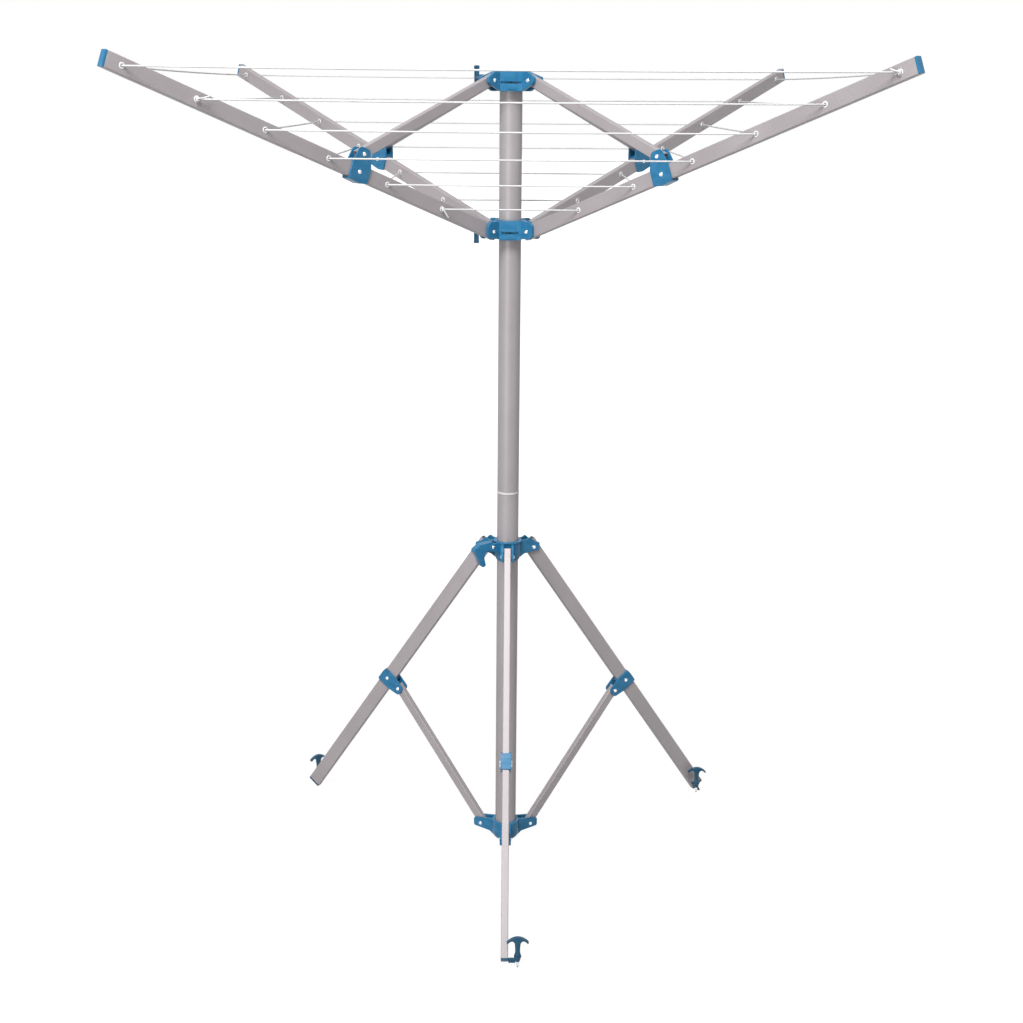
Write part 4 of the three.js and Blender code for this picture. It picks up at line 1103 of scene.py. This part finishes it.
def line_stretch(name, row, side):
    """Half a stretch of line, from an arm's hole to midway to its neighbour."""
    along = hole_at(row)
    hole = arm_at(name) @ Vector((along, 0, 0))
    face = arm_at(name) @ Vector((along, side * (ARM_WIDTH / 2 + 0.2), 0))
    run = plane_at(ARMS[name] + side * 135) @ Vector((1, 0, 0))
    reach = -face.dot(run)
    sag = LINE_SAG * (reach / SAG_SPAN) ** 2
    count = max(4, int(reach / 30))
    points = [hole]
    for s in range(count + 1):
        t = s / count
        points.append(face + run * reach * t - Vector((0, 0, sag * t * (2 - t))))
    open_radius = PIVOT_RADIUS + along * cos(ARM_TILT)
    folded_radius = PIVOT_RADIUS + along * cos(ARM_TILT + ARM_UNFOLD)
    cosine = cos(ARM_UNFOLD)
    keep = (folded_radius - ARM_WIDTH / 4 * (1 - cosine)) / (0.5 * open_radius * (1 + cosine))
    made = line_piece(f"line_row{row + 1}_{name}_{'left' if side > 0 else 'right'}", points, name)
    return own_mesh(made)


def knot(name, row, side, tail):
    """A line's tied end: a close double loop against the eyelet and a short tail."""
    points = []
    for s in range(49):
        a = 2 * pi * 2 * s / 48
        spread, off = 2.3 + 0.9 * sin(1.5 * a), 1.8 + 0.8 * sin(a / 2) + s * 0.05
        points.append((spread * cos(a), off, spread * sin(a)))
    start, (x, y, z) = Vector(points[-1]), tail
    for s in range(1, 13):
        t = s / 12
        step = (x * t, y * sin(pi / 2 * t), z * t - 3 * t * (1 - t))
        points.append(start + Vector(step))
    face = Matrix.Translation((hole_at(row), side * (ARM_WIDTH / 2 + 1), 0))
    at = arm_at(name) @ face @ Matrix.Diagonal((1, side, 1, 1))
    line_piece(f"line_knot_{name}_{row + 1}", [at @ Vector(p) for p in points], name)


def make_lines():
    stretches = [line_stretch(name, row, side)
                 for name in ARMS for row in range(ROWS) for side in (-1, 1)]
    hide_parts("line_outer_rows", "line_inner_loop")
    knot("front_right", 0, -1, (-12, 4, 9))
    knot("front_left", ROWS - 1, 1, (-14, 5, -12))
    knot("front_left", 1, 1, (-19, 5, 12))


# ---- Studio ----
CAMERA_PLACE = (0, -3.1354, 1.6013)
CAMERA_YAW, CAMERA_PITCH, CAMERA_ROLL = (radians(a) for a in (-0.14, -15.147, 0.486))


def place_camera():
    camera = placed("camera", bpy.data.cameras.new("camera"))
    camera.data.sensor_width = 36
    camera.data.lens = 54.25
    camera.data.clip_end = 200
    ahead = Matrix.Rotation(radians(90) + CAMERA_PITCH, 4, "X")
    turns = Matrix.Rotation(CAMERA_YAW, 4, "Z") @ ahead @ Matrix.Rotation(CAMERA_ROLL, 4, "Z")
    camera.matrix_world = Matrix.Translation(CAMERA_PLACE) @ turns
    bpy.context.scene.camera = camera


def softbox(name, place, target, width, power, height=None):
    """A soft lamp aimed at a target: round, or upright where it has a height."""
    lamp = placed(name, bpy.data.lights.new(name, "AREA"))
    lamp.data.shape = "RECTANGLE" if height else "DISK"
    lamp.data.size = width
    lamp.data.size_y = height or width
    lamp.data.energy = power
    lamp.location = place
    lamp.rotation_euler = (Vector(target) - Vector(place)).to_track_quat("-Z", "Y").to_euler()


def light_studio():
    world = bpy.data.worlds.new("studio")
    world.use_nodes = True
    bpy.context.scene.world = world
    sky = Recipe(world.node_tree)
    strength = sky.seen() * (1 - WORLD_LIGHT) + WORLD_LIGHT
    background = sky.node("ShaderNodeBackground", {"Color": (1, 1, 1), "Strength": strength})
    sky.node("ShaderNodeOutputWorld", {"Surface": background})
    floor = placed("floor", bpy.data.meshes.new("floor"))
    half, z = 40, -0.0003
    corners = [(-half, -half, z), (half, -half, z), (half, half, z), (-half, half, z)]
    floor.data.from_pydata(corners, [], [(0, 1, 2, 3)])
    floor.data.materials.append(studio_floor("studio_floor"))
    softbox("key_softbox", (-0.8, -3.35, 5.3), (0, 0, 0.9), 2.6, 310)
    softbox("fill_softbox", (3.6, -1.8, 2.4), (0, 0, 0.9), 2.4, 8)
    softbox("strip_softbox", (-1.6, -3.4, 1.0), (0, 0, 1.0), 0.4, 42, 2.2)
    bpy.context.scene.view_settings.view_transform = "Standard"


# ---- The clothesline ----
make_mast()
make_head_hubs()
for arm in ARMS:
    make_arm(arm)
make_tripod_hub()
make_base_hub()
for leg in LEGS:
    make_leg(leg)
make_lines()
place_camera()
light_studio()
